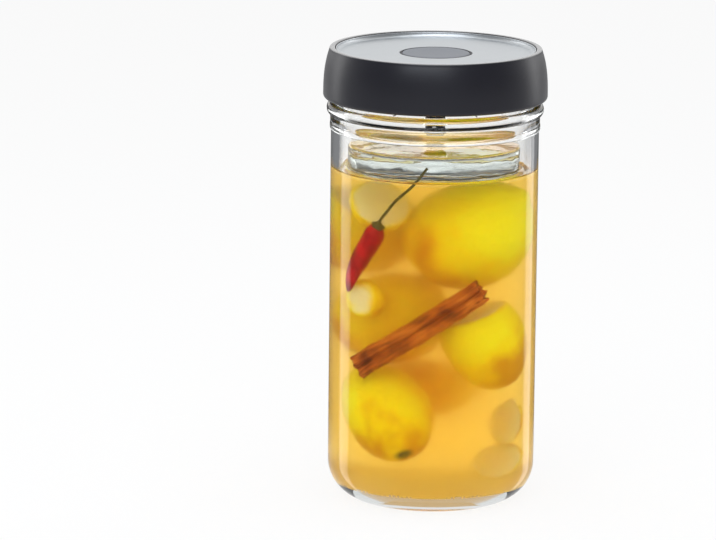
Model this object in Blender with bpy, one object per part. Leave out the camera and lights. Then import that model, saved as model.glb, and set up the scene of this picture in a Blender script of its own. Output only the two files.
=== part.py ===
"""Fermentation jar: a straight glass jar, a glass weight in it and a two-piece screw lid with a vent valve.

Metres, +Z up. The origin is the middle of the jar's foot, and the jar's axis is the Z axis.
"""

import math

import bmesh
import bpy
from mathutils import Matrix

# Clearance between two touching pieces, and round a piece that slides
FIT = 0.0003

# Glass jar
JAR_HEIGHT = 0.2176
JAR_RADIUS = 0.0510
JAR_WALL = 0.0040
BASE_THICKNESS = 0.0056
CORNER_RADIUS = 0.0187
FOOT_WIDTH = 0.0070
PUNT_DEPTH = 0.0012
FINISH_HEIGHT = 0.0197
FINISH_STEP = 0.0014
FINISH_WALL = 0.0038
LIP_ROUNDING = 0.0012
BEAD_HEIGHT = 0.0054
BEAD_STAND = 0.0018
RING_HEIGHT = 0.0032
RING_STAND = 0.0006
RING_DROP = 0.0087
NECK_STAND = 0.0004
NECK_SLOPE = 0.0060

# Screw thread: four short ridges on the jar and four shorter lugs in the band
THREAD_STARTS = 4
THREAD_LEAD = 0.0240
THREAD_DEPTH = 0.0015
THREAD_HEIGHT = 0.0022
THREAD_CREST_SHARE = 0.5
THREAD_DROP = 0.0085
THREAD_PLAY = 0.0005
THREAD_BURIED = 0.0008
JAR_RIDGE_ARC = math.radians(80)
BAND_LUG_ARC = math.radians(42)

# Screw band
BAND_WALL = 0.0034
BAND_BARREL_DEPTH = 0.0030
BAND_BARREL_POWER = 2.6
BAND_BEAD_GAP = 0.0022
BAND_EDGE_ROUNDING = 0.0020
BAND_TOP_ROUNDING = 0.0006
BAND_FLANGE = 0.0023
BAND_FLANGE_REACH = 0.0027
SNAP_LUGS = 6
SNAP_LUG_ARC = math.radians(26)
SNAP_LUG_HEIGHT = 0.0011
SNAP_LUG_REACH = 0.0013

# Gasket, inner lid and trim disc
GASKET_THICKNESS = 0.0016
GASKET_ROUNDING = 0.0004
LID_FLOOR = 0.0016
PLUG_DEPTH = 0.0074
PLUG_WALL = 0.0015
PLUG_CLEARANCE = 0.0005
PLUG_CHAMFER = 0.0006
TRIM_THICKNESS = 0.0008
TRIM_BEVEL = 0.0002
TRIM_COVE = 0.0018
TRIM_LIP = 0.0006
TRIM_DROP = 0.0004
WELL_DEPTH = 0.0110
WELL_WALL = 0.0018
WELL_FLOOR = 0.0020
WELL_COLLAR = 0.0006
WELL_CHAMFER = 0.0012

# Vent valve
BUTTON_RADIUS = 0.0166
BUTTON_THICKNESS = 0.0020
BUTTON_WALL = 0.0013
BUTTON_ROUNDING = 0.0005
BUTTON_TRAVEL = 0.0020
SOCKET_WALL = 0.0015
SOCKET_DEPTH = 0.0055
STEM_RADIUS = 0.0015
STEM_FOOT_RADIUS = 0.0024
STEM_FOOT_THICKNESS = 0.0008
SEAL_RADIUS = 0.0030
SEAL_THICKNESS = 0.0012
SEAL_CHAMFER = 0.0003
TUBE_WALL = 0.0018
TUBE_LENGTH = 0.0135
CAGE_WALL = 0.0010
CAGE_LAP = 0.0040
CAGE_FLOOR = 0.0014
CAGE_CHAMFER = 0.0007
CAGE_WINDOW_WIDTH = 0.0022
SPRING_WIRE = 0.0007
SPRING_TURNS = 5
SPRING_POINTS_PER_TURN = 12

# Glass weight
WEIGHT_CLEARANCE = 0.0036
WEIGHT_THICKNESS = 0.0127
WEIGHT_EDGE = 0.0016
WEIGHT_FOOT_WIDTH = 0.0030
WEIGHT_DISH = 0.0008
KNOB_HEIGHT = 0.0115
KNOB_HEAD_RADIUS = 0.0064
KNOB_HEAD_HEIGHT = 0.0080
KNOB_NECK_RADIUS = 0.0042
KNOB_FILLET = 0.0018

# Facets round each kind of piece
JAR_FACETS = 64
LID_FACETS = 56
WEIGHT_FACETS = 48
BUTTON_FACETS = 40
SMALL_FACETS = 24
RIDGE_STEP = math.radians(6)

# Levels that follow from the sizes above, from the jar's lip up to the band's top
BEAD_TOP_Z = JAR_HEIGHT - FINISH_HEIGHT
BEAD_Z = BEAD_TOP_Z - BEAD_HEIGHT / 2
RING_Z = BEAD_Z - RING_DROP
THREAD_Z = JAR_HEIGHT - THREAD_DROP
LUG_Z = THREAD_Z - THREAD_HEIGHT * (1 + THREAD_CREST_SHARE) / 2 - FIT
GASKET_BOTTOM_Z = JAR_HEIGHT + FIT
GASKET_TOP_Z = GASKET_BOTTOM_Z + GASKET_THICKNESS
LID_UNDER_Z = GASKET_TOP_Z + FIT
TRIM_BED_Z = LID_UNDER_Z + LID_FLOOR
TRIM_BOTTOM_Z = TRIM_BED_Z + FIT
PLATE_Z = TRIM_BOTTOM_Z + TRIM_THICKNESS
FLANGE_UNDER_Z = PLATE_Z + FIT
BAND_TOP_Z = FLANGE_UNDER_Z + BAND_FLANGE
TRIM_TOP_Z = BAND_TOP_Z - TRIM_DROP
BAND_BOTTOM_Z = BEAD_TOP_Z + BAND_BEAD_GAP
SNAP_LUG_Z = LID_UNDER_Z - FIT - SNAP_LUG_HEIGHT / 2
PLUG_END_Z = LID_UNDER_Z - PLUG_DEPTH

# Levels of the valve, from the button down to the glass weight that it stands on
BUTTON_UNDER_Z = PLATE_Z - BUTTON_THICKNESS
SOCKET_END_Z = BUTTON_UNDER_Z - SOCKET_DEPTH
WELL_FLOOR_Z = PLATE_Z - WELL_DEPTH
BUTTON_SKIRT_Z = WELL_FLOOR_Z + BUTTON_TRAVEL + FIT
TUBE_TOP_Z = WELL_FLOOR_Z - WELL_FLOOR
TUBE_END_Z = TUBE_TOP_Z - TUBE_LENGTH
SEAL_TOP_Z = TUBE_END_Z - FIT
SEAL_BOTTOM_Z = SEAL_TOP_Z - SEAL_THICKNESS
FOOT_TOP_Z = SEAL_BOTTOM_Z - FIT
FOOT_BOTTOM_Z = FOOT_TOP_Z - STEM_FOOT_THICKNESS
CAGE_FLOOR_Z = FOOT_BOTTOM_Z - BUTTON_TRAVEL - FIT
CAGE_BOTTOM_Z = CAGE_FLOOR_Z - CAGE_FLOOR
KNOB_TOP_Z = CAGE_BOTTOM_Z - FIT
WEIGHT_TOP_Z = KNOB_TOP_Z - KNOB_HEIGHT
WEIGHT_BOTTOM_Z = WEIGHT_TOP_Z - WEIGHT_THICKNESS

# Radii that follow from the sizes above
BODY_BORE = JAR_RADIUS - JAR_WALL
NECK_RADIUS = JAR_RADIUS + NECK_STAND
FINISH_RADIUS = JAR_RADIUS - FINISH_STEP
MOUTH_BORE = FINISH_RADIUS - FINISH_WALL
THREAD_CREST = FINISH_RADIUS + THREAD_DEPTH
BAND_BORE = THREAD_CREST + THREAD_PLAY
LUG_CREST = FINISH_RADIUS + FIT
BAND_WIDEST_RADIUS = BAND_BORE + BAND_WALL
BAND_TOP_RADIUS = BAND_WIDEST_RADIUS - BAND_BARREL_DEPTH
FLANGE_BORE = BAND_TOP_RADIUS - BAND_FLANGE_REACH
LID_RADIUS = BAND_BORE - FIT
TRIM_RADIUS = FLANGE_BORE - FIT
PLUG_RADIUS = MOUTH_BORE - PLUG_CLEARANCE
WELL_RADIUS = BUTTON_RADIUS + FIT
COLLAR_RADIUS = WELL_RADIUS + WELL_COLLAR
TUBE_BORE = STEM_RADIUS + FIT
TUBE_RADIUS = TUBE_BORE + TUBE_WALL
CAGE_BORE = TUBE_RADIUS + FIT
CAGE_RADIUS = CAGE_BORE + CAGE_WALL
SOCKET_BORE = STEM_RADIUS + FIT
SOCKET_RADIUS = SOCKET_BORE + SOCKET_WALL
SPRING_RADIUS = SOCKET_RADIUS + FIT + SPRING_WIRE / 2
WEIGHT_RADIUS = MOUTH_BORE - WEIGHT_CLEARANCE


def clear_scene():
    for obj in list(bpy.data.objects):
        bpy.data.objects.remove(obj, do_unlink=True)


def material(name, colour, roughness, metallic=0.0, transmission=0.0):
    made = bpy.data.materials.new(name)
    made.use_nodes = True
    shader = made.node_tree.nodes["Principled BSDF"]
    shader.inputs["Base Color"].default_value = (*colour, 1.0)
    shader.inputs["Roughness"].default_value = roughness
    shader.inputs["Metallic"].default_value = metallic
    shader.inputs["Transmission Weight"].default_value = transmission
    made.diffuse_color = (*colour, 1.0)
    return made


def arc(centre_r, centre_z, radius, start, end, steps):
    """Points of a round stretch of an outline, between two angles in degrees."""
    angles = [math.radians(start + (end - start) * i / steps) for i in range(steps + 1)]
    return [(centre_r + radius * math.cos(a), centre_z + radius * math.sin(a)) for a in angles]


def bulge(wall_r, middle_z, height, stand, steps):
    """The outline of a half-round bead on a wall, from its foot up to its top."""
    angles = [math.pi * (i / steps - 0.5) for i in range(steps + 1)]
    return [(wall_r + stand * math.cos(a), middle_z + height / 2 * math.sin(a)) for a in angles]


def object_from(name, bm, finish):
    """A smooth-shaded object with sharp edges where its faces turn by more than 40 degrees."""
    bmesh.ops.recalc_face_normals(bm, faces=bm.faces)
    mesh = bpy.data.meshes.new(name)
    bm.to_mesh(mesh)
    bm.free()
    mesh.shade_smooth()
    mesh.set_sharp_from_angle(angle=math.radians(40))
    obj = bpy.data.objects.new(name, mesh)
    bpy.context.scene.collection.objects.link(obj)
    if finish:
        mesh.materials.append(finish)
    return obj


def turned(name, outline, facets, finish):
    """A piece turned round the Z axis.

    An outline that starts on the axis ends there too. Any other one is closed, and leaves a bore.
    """
    bm = bmesh.new()
    turns = [2 * math.pi * i / facets for i in range(facets)]
    rings = []
    for r, z in outline:
        if r == 0:
            rings.append([bm.verts.new((0, 0, z))])
        else:
            rings.append([bm.verts.new((r * math.cos(t), r * math.sin(t), z)) for t in turns])
    pairs = list(zip(rings, rings[1:]))
    if outline[0][0] > 0:
        pairs.append((rings[-1], rings[0]))
    for one, other in pairs:
        for i in range(facets):
            j = (i + 1) % facets
            if len(one) == 1:
                bm.faces.new((one[0], other[i], other[j]))
            elif len(other) == 1:
                bm.faces.new((one[i], other[0], one[j]))
            else:
                bm.faces.new((one[i], other[i], other[j], one[j]))
    return object_from(name, bm, finish)


def ridge(name, root, crest, height, middle_z, lead, middle_turn, span):
    """A closed ridge that climbs round the Z axis, from its root to its crest radius, with low ends."""
    bm = bmesh.new()
    steps = max(2, math.ceil(span / RIDGE_STEP))
    sections = []
    for i in range(steps + 1):
        share = i / steps
        turn = middle_turn + span * (share - 0.5)
        z = middle_z + lead * span * (share - 0.5) / (2 * math.pi)
        nearest_end = min(i, steps - i)
        tip = crest if nearest_end > 0 else (root + crest) / 2
        half = height / 2
        tip_half = half * THREAD_CREST_SHARE
        corners = [(root, z - half), (tip, z - tip_half), (tip, z + tip_half), (root, z + half)]
        sections.append([bm.verts.new((r * math.cos(turn), r * math.sin(turn), h)) for r, h in corners])
    for one, other in zip(sections, sections[1:]):
        for i in range(4):
            j = (i + 1) % 4
            bm.faces.new((one[i], one[j], other[j], other[i]))
    bm.faces.new(sections[0])
    bm.faces.new(sections[-1])
    return object_from(name, bm, None)


def box(name, size, middle):
    bm = bmesh.new()
    bmesh.ops.create_cube(bm, size=1)
    bmesh.ops.scale(bm, vec=size, verts=bm.verts)
    bmesh.ops.translate(bm, vec=middle, verts=bm.verts)
    return object_from(name, bm, None)


def combine(target, tools, operation):
    """Joins the tools to the target, or cuts them from it, and removes them."""
    for tool in tools:
        change = target.modifiers.new(tool.name, "BOOLEAN")
        change.operation = operation
        change.solver = "EXACT"
        change.object = tool
    graph = bpy.context.evaluated_depsgraph_get()
    mesh = bpy.data.meshes.new_from_object(target.evaluated_get(graph))
    target.modifiers.clear()
    target.data = mesh
    mesh.set_sharp_from_angle(angle=math.radians(40))
    for tool in tools:
        bpy.data.objects.remove(tool, do_unlink=True)
    return target


def thread_turns():
    """The angles of the middles of the thread's starts."""
    return [2 * math.pi * i / THREAD_STARTS for i in range(THREAD_STARTS)]


def jar(finish):
    foot_r = JAR_RADIUS - CORNER_RADIUS
    punt_r = foot_r - FOOT_WIDTH
    inner_corner = CORNER_RADIUS - JAR_WALL
    outline = [
        (0, PUNT_DEPTH),
        (punt_r - 2 * PUNT_DEPTH, PUNT_DEPTH),
        (punt_r, 0),
        *arc(foot_r, CORNER_RADIUS, CORNER_RADIUS, -90, 0, 7),
        *bulge(JAR_RADIUS, RING_Z, RING_HEIGHT, RING_STAND, 4)[:3],
        *bulge(NECK_RADIUS, RING_Z, RING_HEIGHT, RING_STAND - NECK_STAND, 4)[3:],
        *bulge(NECK_RADIUS, BEAD_Z, BEAD_HEIGHT, BEAD_STAND, 6)[:-1],
        (FINISH_RADIUS, BEAD_TOP_Z),
        *arc(FINISH_RADIUS - LIP_ROUNDING, JAR_HEIGHT - LIP_ROUNDING, LIP_ROUNDING, 0, 90, 3),
        *arc(MOUTH_BORE + LIP_ROUNDING, JAR_HEIGHT - LIP_ROUNDING, LIP_ROUNDING, 90, 180, 3),
        (MOUTH_BORE, BEAD_TOP_Z),
        (BODY_BORE, BEAD_TOP_Z - NECK_SLOPE),
        *arc(BODY_BORE - inner_corner, BASE_THICKNESS + inner_corner, inner_corner, 0, -90, 6),
        (0, BASE_THICKNESS),
    ]
    root = FINISH_RADIUS - THREAD_BURIED
    ridges = [
        ridge("thread", root, THREAD_CREST, THREAD_HEIGHT, THREAD_Z, THREAD_LEAD, turn, JAR_RIDGE_ARC)
        for turn in thread_turns()
    ]
    return combine(turned("jar", outline, JAR_FACETS, finish), ridges, "UNION")


def glass_weight(finish):
    head_round = KNOB_HEAD_HEIGHT / 2
    head_flat = KNOB_HEAD_RADIUS - head_round
    neck_angle = -math.degrees(math.acos((KNOB_NECK_RADIUS - head_flat) / head_round))
    fillet_r = KNOB_NECK_RADIUS + KNOB_FILLET
    edge_r = WEIGHT_RADIUS - WEIGHT_EDGE
    outline = [
        (0, KNOB_TOP_Z),
        *arc(head_flat, KNOB_TOP_Z - head_round, head_round, 90, neck_angle, 7),
        *arc(fillet_r, WEIGHT_TOP_Z + KNOB_FILLET, KNOB_FILLET, 180, 270, 3),
        *arc(edge_r, WEIGHT_TOP_Z - WEIGHT_EDGE, WEIGHT_EDGE, 90, 0, 3),
        *arc(edge_r, WEIGHT_BOTTOM_Z + WEIGHT_EDGE, WEIGHT_EDGE, 0, -90, 3),
        (edge_r - WEIGHT_FOOT_WIDTH, WEIGHT_BOTTOM_Z),
        (edge_r - WEIGHT_FOOT_WIDTH - 2 * WEIGHT_DISH, WEIGHT_BOTTOM_Z + WEIGHT_DISH),
        (0, WEIGHT_BOTTOM_Z + WEIGHT_DISH),
    ]
    return turned("glass_weight", outline, WEIGHT_FACETS, finish)


def barrel(steps):
    """The band's outer side, from its widest place up to its top edge."""
    low = BAND_BOTTOM_Z + BAND_EDGE_ROUNDING
    high = BAND_TOP_Z - BAND_TOP_ROUNDING
    points = []
    for i in range(steps + 1):
        share = (i / steps) ** 0.7
        drawn_in = BAND_BARREL_DEPTH * share**BAND_BARREL_POWER
        points.append((BAND_WIDEST_RADIUS - drawn_in, low + (high - low) * share))
    return points


def screw_band(finish):
    edge = BAND_EDGE_ROUNDING
    top = BAND_TOP_ROUNDING
    outline = [
        (BAND_BORE, BAND_BOTTOM_Z),
        *arc(BAND_WIDEST_RADIUS - edge, BAND_BOTTOM_Z + edge, edge, -90, 0, 4)[:-1],
        *barrel(8)[:-1],
        *arc(BAND_TOP_RADIUS - top, BAND_TOP_Z - top, top, 0, 90, 3),
        *arc(FLANGE_BORE + top, BAND_TOP_Z - top, top, 90, 180, 3),
        (FLANGE_BORE, FLANGE_UNDER_Z),
        (BAND_BORE, FLANGE_UNDER_Z),
    ]
    root = BAND_BORE + THREAD_BURIED
    lugs = [
        ridge("lug", root, LUG_CREST, THREAD_HEIGHT, LUG_Z, THREAD_LEAD, turn, BAND_LUG_ARC)
        for turn in thread_turns()
    ]
    snap_crest = BAND_BORE - SNAP_LUG_REACH
    for i in range(SNAP_LUGS):
        turn = 2 * math.pi * i / SNAP_LUGS
        lugs.append(ridge("snap", root, snap_crest, SNAP_LUG_HEIGHT, SNAP_LUG_Z, 0, turn, SNAP_LUG_ARC))
    return combine(turned("screw_band", outline, JAR_FACETS, finish), lugs, "UNION")


def inner_lid(finish):
    plug_bore = PLUG_RADIUS - PLUG_WALL
    well_outer = WELL_RADIUS + WELL_WALL
    trim_bed = TRIM_RADIUS + FIT
    outline = [
        (LID_RADIUS, PLATE_Z),
        (LID_RADIUS, LID_UNDER_Z),
        (PLUG_RADIUS, LID_UNDER_Z),
        (PLUG_RADIUS, PLUG_END_Z + PLUG_CHAMFER),
        (PLUG_RADIUS - PLUG_CHAMFER, PLUG_END_Z),
        (plug_bore, PLUG_END_Z),
        (plug_bore, LID_UNDER_Z),
        (well_outer, LID_UNDER_Z),
        (well_outer, TUBE_TOP_Z + WELL_CHAMFER),
        (well_outer - WELL_CHAMFER, TUBE_TOP_Z),
        (TUBE_RADIUS, TUBE_TOP_Z),
        (TUBE_RADIUS, TUBE_END_Z),
        (TUBE_BORE, TUBE_END_Z),
        (TUBE_BORE, WELL_FLOOR_Z),
        (WELL_RADIUS, WELL_FLOOR_Z),
        (WELL_RADIUS, PLATE_Z),
        (COLLAR_RADIUS, PLATE_Z),
        (COLLAR_RADIUS, TRIM_BED_Z),
        (trim_bed, TRIM_BED_Z),
        (trim_bed, PLATE_Z),
    ]
    return turned("inner_lid", outline, LID_FACETS, finish)


def trim_disc(finish):
    """The plate: a shallow dish whose edge curves up inside the band's flange."""
    bore = COLLAR_RADIUS + FIT
    lip = TRIM_RADIUS - TRIM_LIP
    cove = min(TRIM_COVE, TRIM_TOP_Z - PLATE_Z - FIT)
    outline = [
        (bore, TRIM_BOTTOM_Z),
        (bore, PLATE_Z - TRIM_BEVEL),
        (bore + TRIM_BEVEL, PLATE_Z),
        *arc(lip - cove, PLATE_Z + cove, cove, -90, 0, 5),
        (lip, TRIM_TOP_Z),
        (TRIM_RADIUS, TRIM_TOP_Z),
        (TRIM_RADIUS, TRIM_BOTTOM_Z),
    ]
    return turned("trim_disc", outline, LID_FACETS, finish)


def lid_gasket(finish):
    bore = PLUG_RADIUS + FIT
    rounding = GASKET_ROUNDING
    outline = [
        (bore, GASKET_BOTTOM_Z),
        (FINISH_RADIUS - rounding, GASKET_BOTTOM_Z),
        (FINISH_RADIUS, GASKET_BOTTOM_Z + rounding),
        (FINISH_RADIUS, GASKET_TOP_Z - rounding),
        (FINISH_RADIUS - rounding, GASKET_TOP_Z),
        (bore, GASKET_TOP_Z),
    ]
    return turned("lid_gasket", outline, LID_FACETS, finish)


def valve_button(finish):
    inside = BUTTON_RADIUS - BUTTON_WALL
    rounding = BUTTON_ROUNDING
    outline = [
        (0, PLATE_Z),
        *arc(BUTTON_RADIUS - rounding, PLATE_Z - rounding, rounding, 90, 0, 3),
        (BUTTON_RADIUS, BUTTON_SKIRT_Z),
        (inside, BUTTON_SKIRT_Z),
        (inside, BUTTON_UNDER_Z),
        (SOCKET_RADIUS, BUTTON_UNDER_Z),
        (SOCKET_RADIUS, SOCKET_END_Z),
        (SOCKET_BORE, SOCKET_END_Z),
        (SOCKET_BORE, BUTTON_UNDER_Z),
        (0, BUTTON_UNDER_Z),
    ]
    return turned("valve_button", outline, BUTTON_FACETS, finish)


def valve_stem(finish):
    top = BUTTON_UNDER_Z - FIT
    outline = [
        (0, top),
        (STEM_RADIUS, top),
        (STEM_RADIUS, FOOT_TOP_Z),
        (STEM_FOOT_RADIUS, FOOT_TOP_Z),
        (STEM_FOOT_RADIUS, FOOT_BOTTOM_Z),
        (0, FOOT_BOTTOM_Z),
    ]
    return turned("valve_stem", outline, SMALL_FACETS, finish)


def valve_seal(finish):
    bore = STEM_RADIUS + FIT
    outline = [
        (bore, SEAL_BOTTOM_Z),
        (SEAL_RADIUS - SEAL_CHAMFER, SEAL_BOTTOM_Z),
        (SEAL_RADIUS, SEAL_BOTTOM_Z + SEAL_CHAMFER),
        (SEAL_RADIUS, SEAL_TOP_Z - SEAL_CHAMFER),
        (SEAL_RADIUS - SEAL_CHAMFER, SEAL_TOP_Z),
        (bore, SEAL_TOP_Z),
    ]
    return turned("valve_seal", outline, SMALL_FACETS, finish)


def valve_cage(finish):
    top = TUBE_END_Z + CAGE_LAP
    outline = [
        (0, CAGE_FLOOR_Z),
        (CAGE_BORE, CAGE_FLOOR_Z),
        (CAGE_BORE, top),
        (CAGE_RADIUS, top),
        (CAGE_RADIUS, CAGE_BOTTOM_Z + CAGE_CHAMFER),
        (CAGE_RADIUS - CAGE_CHAMFER, CAGE_BOTTOM_Z),
        (0, CAGE_BOTTOM_Z),
    ]
    low = CAGE_FLOOR_Z + FIT
    high = TUBE_END_Z - FIT
    across = 3 * CAGE_RADIUS
    middle = (0, 0, (low + high) / 2)
    windows = [
        box("window", (across, CAGE_WINDOW_WIDTH, high - low), middle),
        box("window", (CAGE_WINDOW_WIDTH, across, high - low), middle),
    ]
    return combine(turned("valve_cage", outline, SMALL_FACETS, finish), windows, "DIFFERENCE")


def valve_spring(finish):
    curve = bpy.data.curves.new("valve_spring", "CURVE")
    curve.dimensions = "3D"
    curve.bevel_depth = SPRING_WIRE / 2
    curve.bevel_resolution = 1
    curve.use_fill_caps = True
    steps = SPRING_TURNS * SPRING_POINTS_PER_TURN
    low = WELL_FLOOR_Z + FIT + SPRING_WIRE / 2
    high = BUTTON_UNDER_Z - FIT - SPRING_WIRE / 2
    coil = curve.splines.new("POLY")
    coil.points.add(steps)
    for i, point in enumerate(coil.points):
        turn = 2 * math.pi * i / SPRING_POINTS_PER_TURN
        z = low + (high - low) * i / steps
        point.co = (SPRING_RADIUS * math.cos(turn), SPRING_RADIUS * math.sin(turn), z, 1)
    curve.materials.append(finish)
    obj = bpy.data.objects.new("valve_spring", curve)
    bpy.context.scene.collection.objects.link(obj)
    return obj


def carrier(name, z, parent=None):
    """An empty on the jar's axis that the pieces of one moving group hang from."""
    empty = bpy.data.objects.new(name, None)
    bpy.context.scene.collection.objects.link(empty)
    empty.parent = parent
    empty.location.z = z - (parent.matrix_world.translation.z if parent else 0)
    bpy.context.view_layer.update()
    return empty


def hang(pieces, empty):
    """Parents the pieces to the empty, and leaves them where they are."""
    for piece in pieces:
        piece.data.transform(Matrix.Translation(-empty.matrix_world.translation))
        piece.parent = empty


def main():
    clear_scene()
    glass = material("soda lime glass", (0.95, 0.97, 0.96), 0.02, transmission=1.0)
    black = material("black polypropylene", (0.018, 0.018, 0.022), 0.42)
    steel = material("satin stainless steel", (0.62, 0.63, 0.64), 0.32, metallic=1.0)
    grey = material("grey polypropylene", (0.21, 0.22, 0.23), 0.45)
    silicone = material("grey silicone", (0.42, 0.43, 0.44), 0.6)
    acetal = material("white acetal", (0.8, 0.8, 0.78), 0.35)

    jar(glass)
    hang([glass_weight(glass)], carrier("weight_lift", WEIGHT_BOTTOM_Z))

    lid = carrier("lid_lift", LID_UNDER_Z)
    fixed_to_lid = [inner_lid(black), trim_disc(steel), lid_gasket(silicone), valve_cage(black)]
    hang([*fixed_to_lid, valve_spring(steel)], lid)
    hang([screw_band(black)], carrier("band_turn", BAND_BOTTOM_Z, lid))
    pressed = [valve_button(grey), valve_stem(acetal), valve_seal(silicone)]
    hang(pressed, carrier("valve_press", PLATE_Z, lid))


if __name__ == "__main__":
    main()
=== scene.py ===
"""The looks of a fermentation jar: clear glass, a black screw lid with a vent button, lemons in cloudy brine.

Metres, +Z up, in the frame of the packed part. -Y is the side that the camera looks at.
"""

import math

import bmesh
import bpy
from bpy.props import FloatProperty, FloatVectorProperty, IntProperty, PointerProperty
from mathutils import Matrix, Vector, noise


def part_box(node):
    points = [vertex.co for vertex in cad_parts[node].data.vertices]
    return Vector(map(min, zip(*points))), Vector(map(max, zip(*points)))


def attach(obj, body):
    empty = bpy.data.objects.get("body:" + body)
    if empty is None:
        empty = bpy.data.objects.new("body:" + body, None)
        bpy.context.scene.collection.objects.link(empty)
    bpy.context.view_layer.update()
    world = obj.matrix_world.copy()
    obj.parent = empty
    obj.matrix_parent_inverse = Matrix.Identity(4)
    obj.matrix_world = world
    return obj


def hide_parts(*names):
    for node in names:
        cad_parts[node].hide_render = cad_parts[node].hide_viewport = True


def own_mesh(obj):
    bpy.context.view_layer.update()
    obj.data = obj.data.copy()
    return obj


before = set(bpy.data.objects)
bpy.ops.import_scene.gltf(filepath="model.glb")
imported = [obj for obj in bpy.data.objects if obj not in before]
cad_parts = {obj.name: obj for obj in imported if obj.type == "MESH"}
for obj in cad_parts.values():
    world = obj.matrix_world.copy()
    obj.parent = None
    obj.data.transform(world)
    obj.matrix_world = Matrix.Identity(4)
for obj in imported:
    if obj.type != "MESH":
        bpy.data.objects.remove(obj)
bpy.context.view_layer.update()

bl_info = {
    "name": "Fermentation Jar",
    "version": (1, 0, 0),
    "blender": (4, 5, 0),
    "location": "View3D > Sidebar > Jar",
    "description": "Builds the finish of a fermentation jar with lemons in brine round its packed parts",
    "category": "Object",
}

MM = 0.001
# How bright the white behind the jar is to light that the brine has scattered
BACKLIGHT = 2.2
# What each point of a lemon knows of its place on the lemon, and of how bare its pith is
OWN_PLACE, BARE = "own place", "bare pith"
JAR_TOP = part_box("jar")[1].z
PLATE_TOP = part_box("valve_button")[1].z
BAND_LOW, BAND_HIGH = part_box("screw_band")
WEIGHT_LOW, WEIGHT_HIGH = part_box("glass_weight")


def linear(code):
    """The linear colour of an sRGB hex code."""
    shares = [int(code[i:i + 2], 16) / 255 for i in (1, 3, 5)]
    return [s / 12.92 if s <= 0.04045 else ((s + 0.055) / 1.055) ** 2.4 for s in shares]


def size(name, description, metres):
    """A length that a user may change."""
    return FloatProperty(
        name=name, description=description, default=metres, min=0, precision=5, unit="LENGTH"
    )


def shade(name, description, code):
    """A colour that a user may change, from its sRGB hex code."""
    return FloatVectorProperty(
        name=name, description=description, default=linear(code), min=0, max=1, subtype="COLOR"
    )


def turn(name, description, degrees):
    """An angle that a user may change."""
    return FloatProperty(name=name, description=description, default=math.radians(degrees), subtype="ANGLE")


class JarSizes(bpy.types.PropertyGroup):
    """The glass jar"""

    radius: size("Radius", "Outer radius of the straight wall", 51.0 * MM)
    wall: size("Wall", "Thickness of the straight wall", 4.0 * MM)
    base: size("Base", "Thickness of the base", 5.6 * MM)
    corner: size("Corner", "Outer rounding between the wall and the base", 18.7 * MM)
    foot: size("Foot", "Width of the ring that the jar stands on", 7.0 * MM)
    punt: size("Punt", "Height of the hollow under the base", 1.2 * MM)
    neck_stand: size("Neck stand", "How far the neck stands out from the wall", 0.4 * MM)
    finish_height: size("Finish height", "Height of the threaded finish", 19.7 * MM)
    finish_step: size("Finish step", "How far the finish lies inside the wall", 1.4 * MM)
    finish_wall: size("Finish wall", "Thickness of the finish", 3.8 * MM)
    lip: size("Lip", "Rounding of the lip", 1.2 * MM)
    bead_height: size("Bead height", "Height of the bead under the lid", 5.4 * MM)
    bead_stand: size("Bead stand", "How far the bead stands out from the neck", 1.8 * MM)
    ring_height: size("Ring height", "Height of the parting ring", 3.2 * MM)
    ring_stand: size("Ring stand", "How far the parting ring stands out from the wall", 0.6 * MM)
    ring_drop: size("Ring drop", "From the bead's middle down to the parting ring's", 8.7 * MM)
    neck_slope: size("Neck slope", "Height over which the bore narrows below the finish", 6.0 * MM)
    waviness: size("Waviness", "How far the blown inner wall wanders from a true cylinder", 0.10 * MM)


class ThreadSizes(bpy.types.PropertyGroup):
    """The screw thread of the jar and the band"""

    starts: IntProperty(name="Starts", description="Ridges round the jar", default=4, min=1)
    lead: size("Lead", "Climb in one full turn", 24.0 * MM)
    depth: size("Depth", "How far a ridge stands out", 1.5 * MM)
    height: size("Height", "Height of a ridge at its root", 2.2 * MM)
    drop: size("Drop", "From the lip down to the middle of the ridges", 8.5 * MM)
    ridge_arc: turn("Ridge arc", "Angle that one ridge of the jar covers", 80)
    lug_arc: turn("Lug arc", "Angle that one lug of the band covers", 42)
    snaps: IntProperty(name="Snap lugs", description="Lugs that carry the inner lid", default=6, min=1)
    snap_arc: turn("Snap lug arc", "Angle that one snap lug covers", 26)
    snap_height: size("Snap lug height", "Height of a snap lug", 1.1 * MM)
    snap_reach: size("Snap lug reach", "How far a snap lug reaches under the inner lid", 1.3 * MM)


class LidSizes(bpy.types.PropertyGroup):
    """The screw band, the inner lid, its plate and its gasket"""

    bore: size("Band bore", "Inner radius of the band", 51.6 * MM)
    barrel: size("Barrel", "How far the band draws in towards its top", 3.0 * MM)
    edge: size("Lower edge", "Rounding of the band's lower edge", 2.0 * MM)
    rim: size("Rim", "Rounding of the band's top edges", 0.6 * MM)
    flange: size("Flange", "Thickness of the band's flange over the plate", 2.3 * MM)
    flange_reach: size("Flange reach", "How far the flange reaches inwards", 2.7 * MM)
    fit: size("Fit", "Gap between pieces that touch", 0.3 * MM)
    plate_bore: size("Plate bore", "Inner radius of the plate round the button", 17.8 * MM)
    plate_cove: size("Plate cove", "Hollow rounding from the plate up to its lip", 1.8 * MM)
    plate_lip: size("Plate lip", "Width of the lip round the plate", 0.6 * MM)


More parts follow.
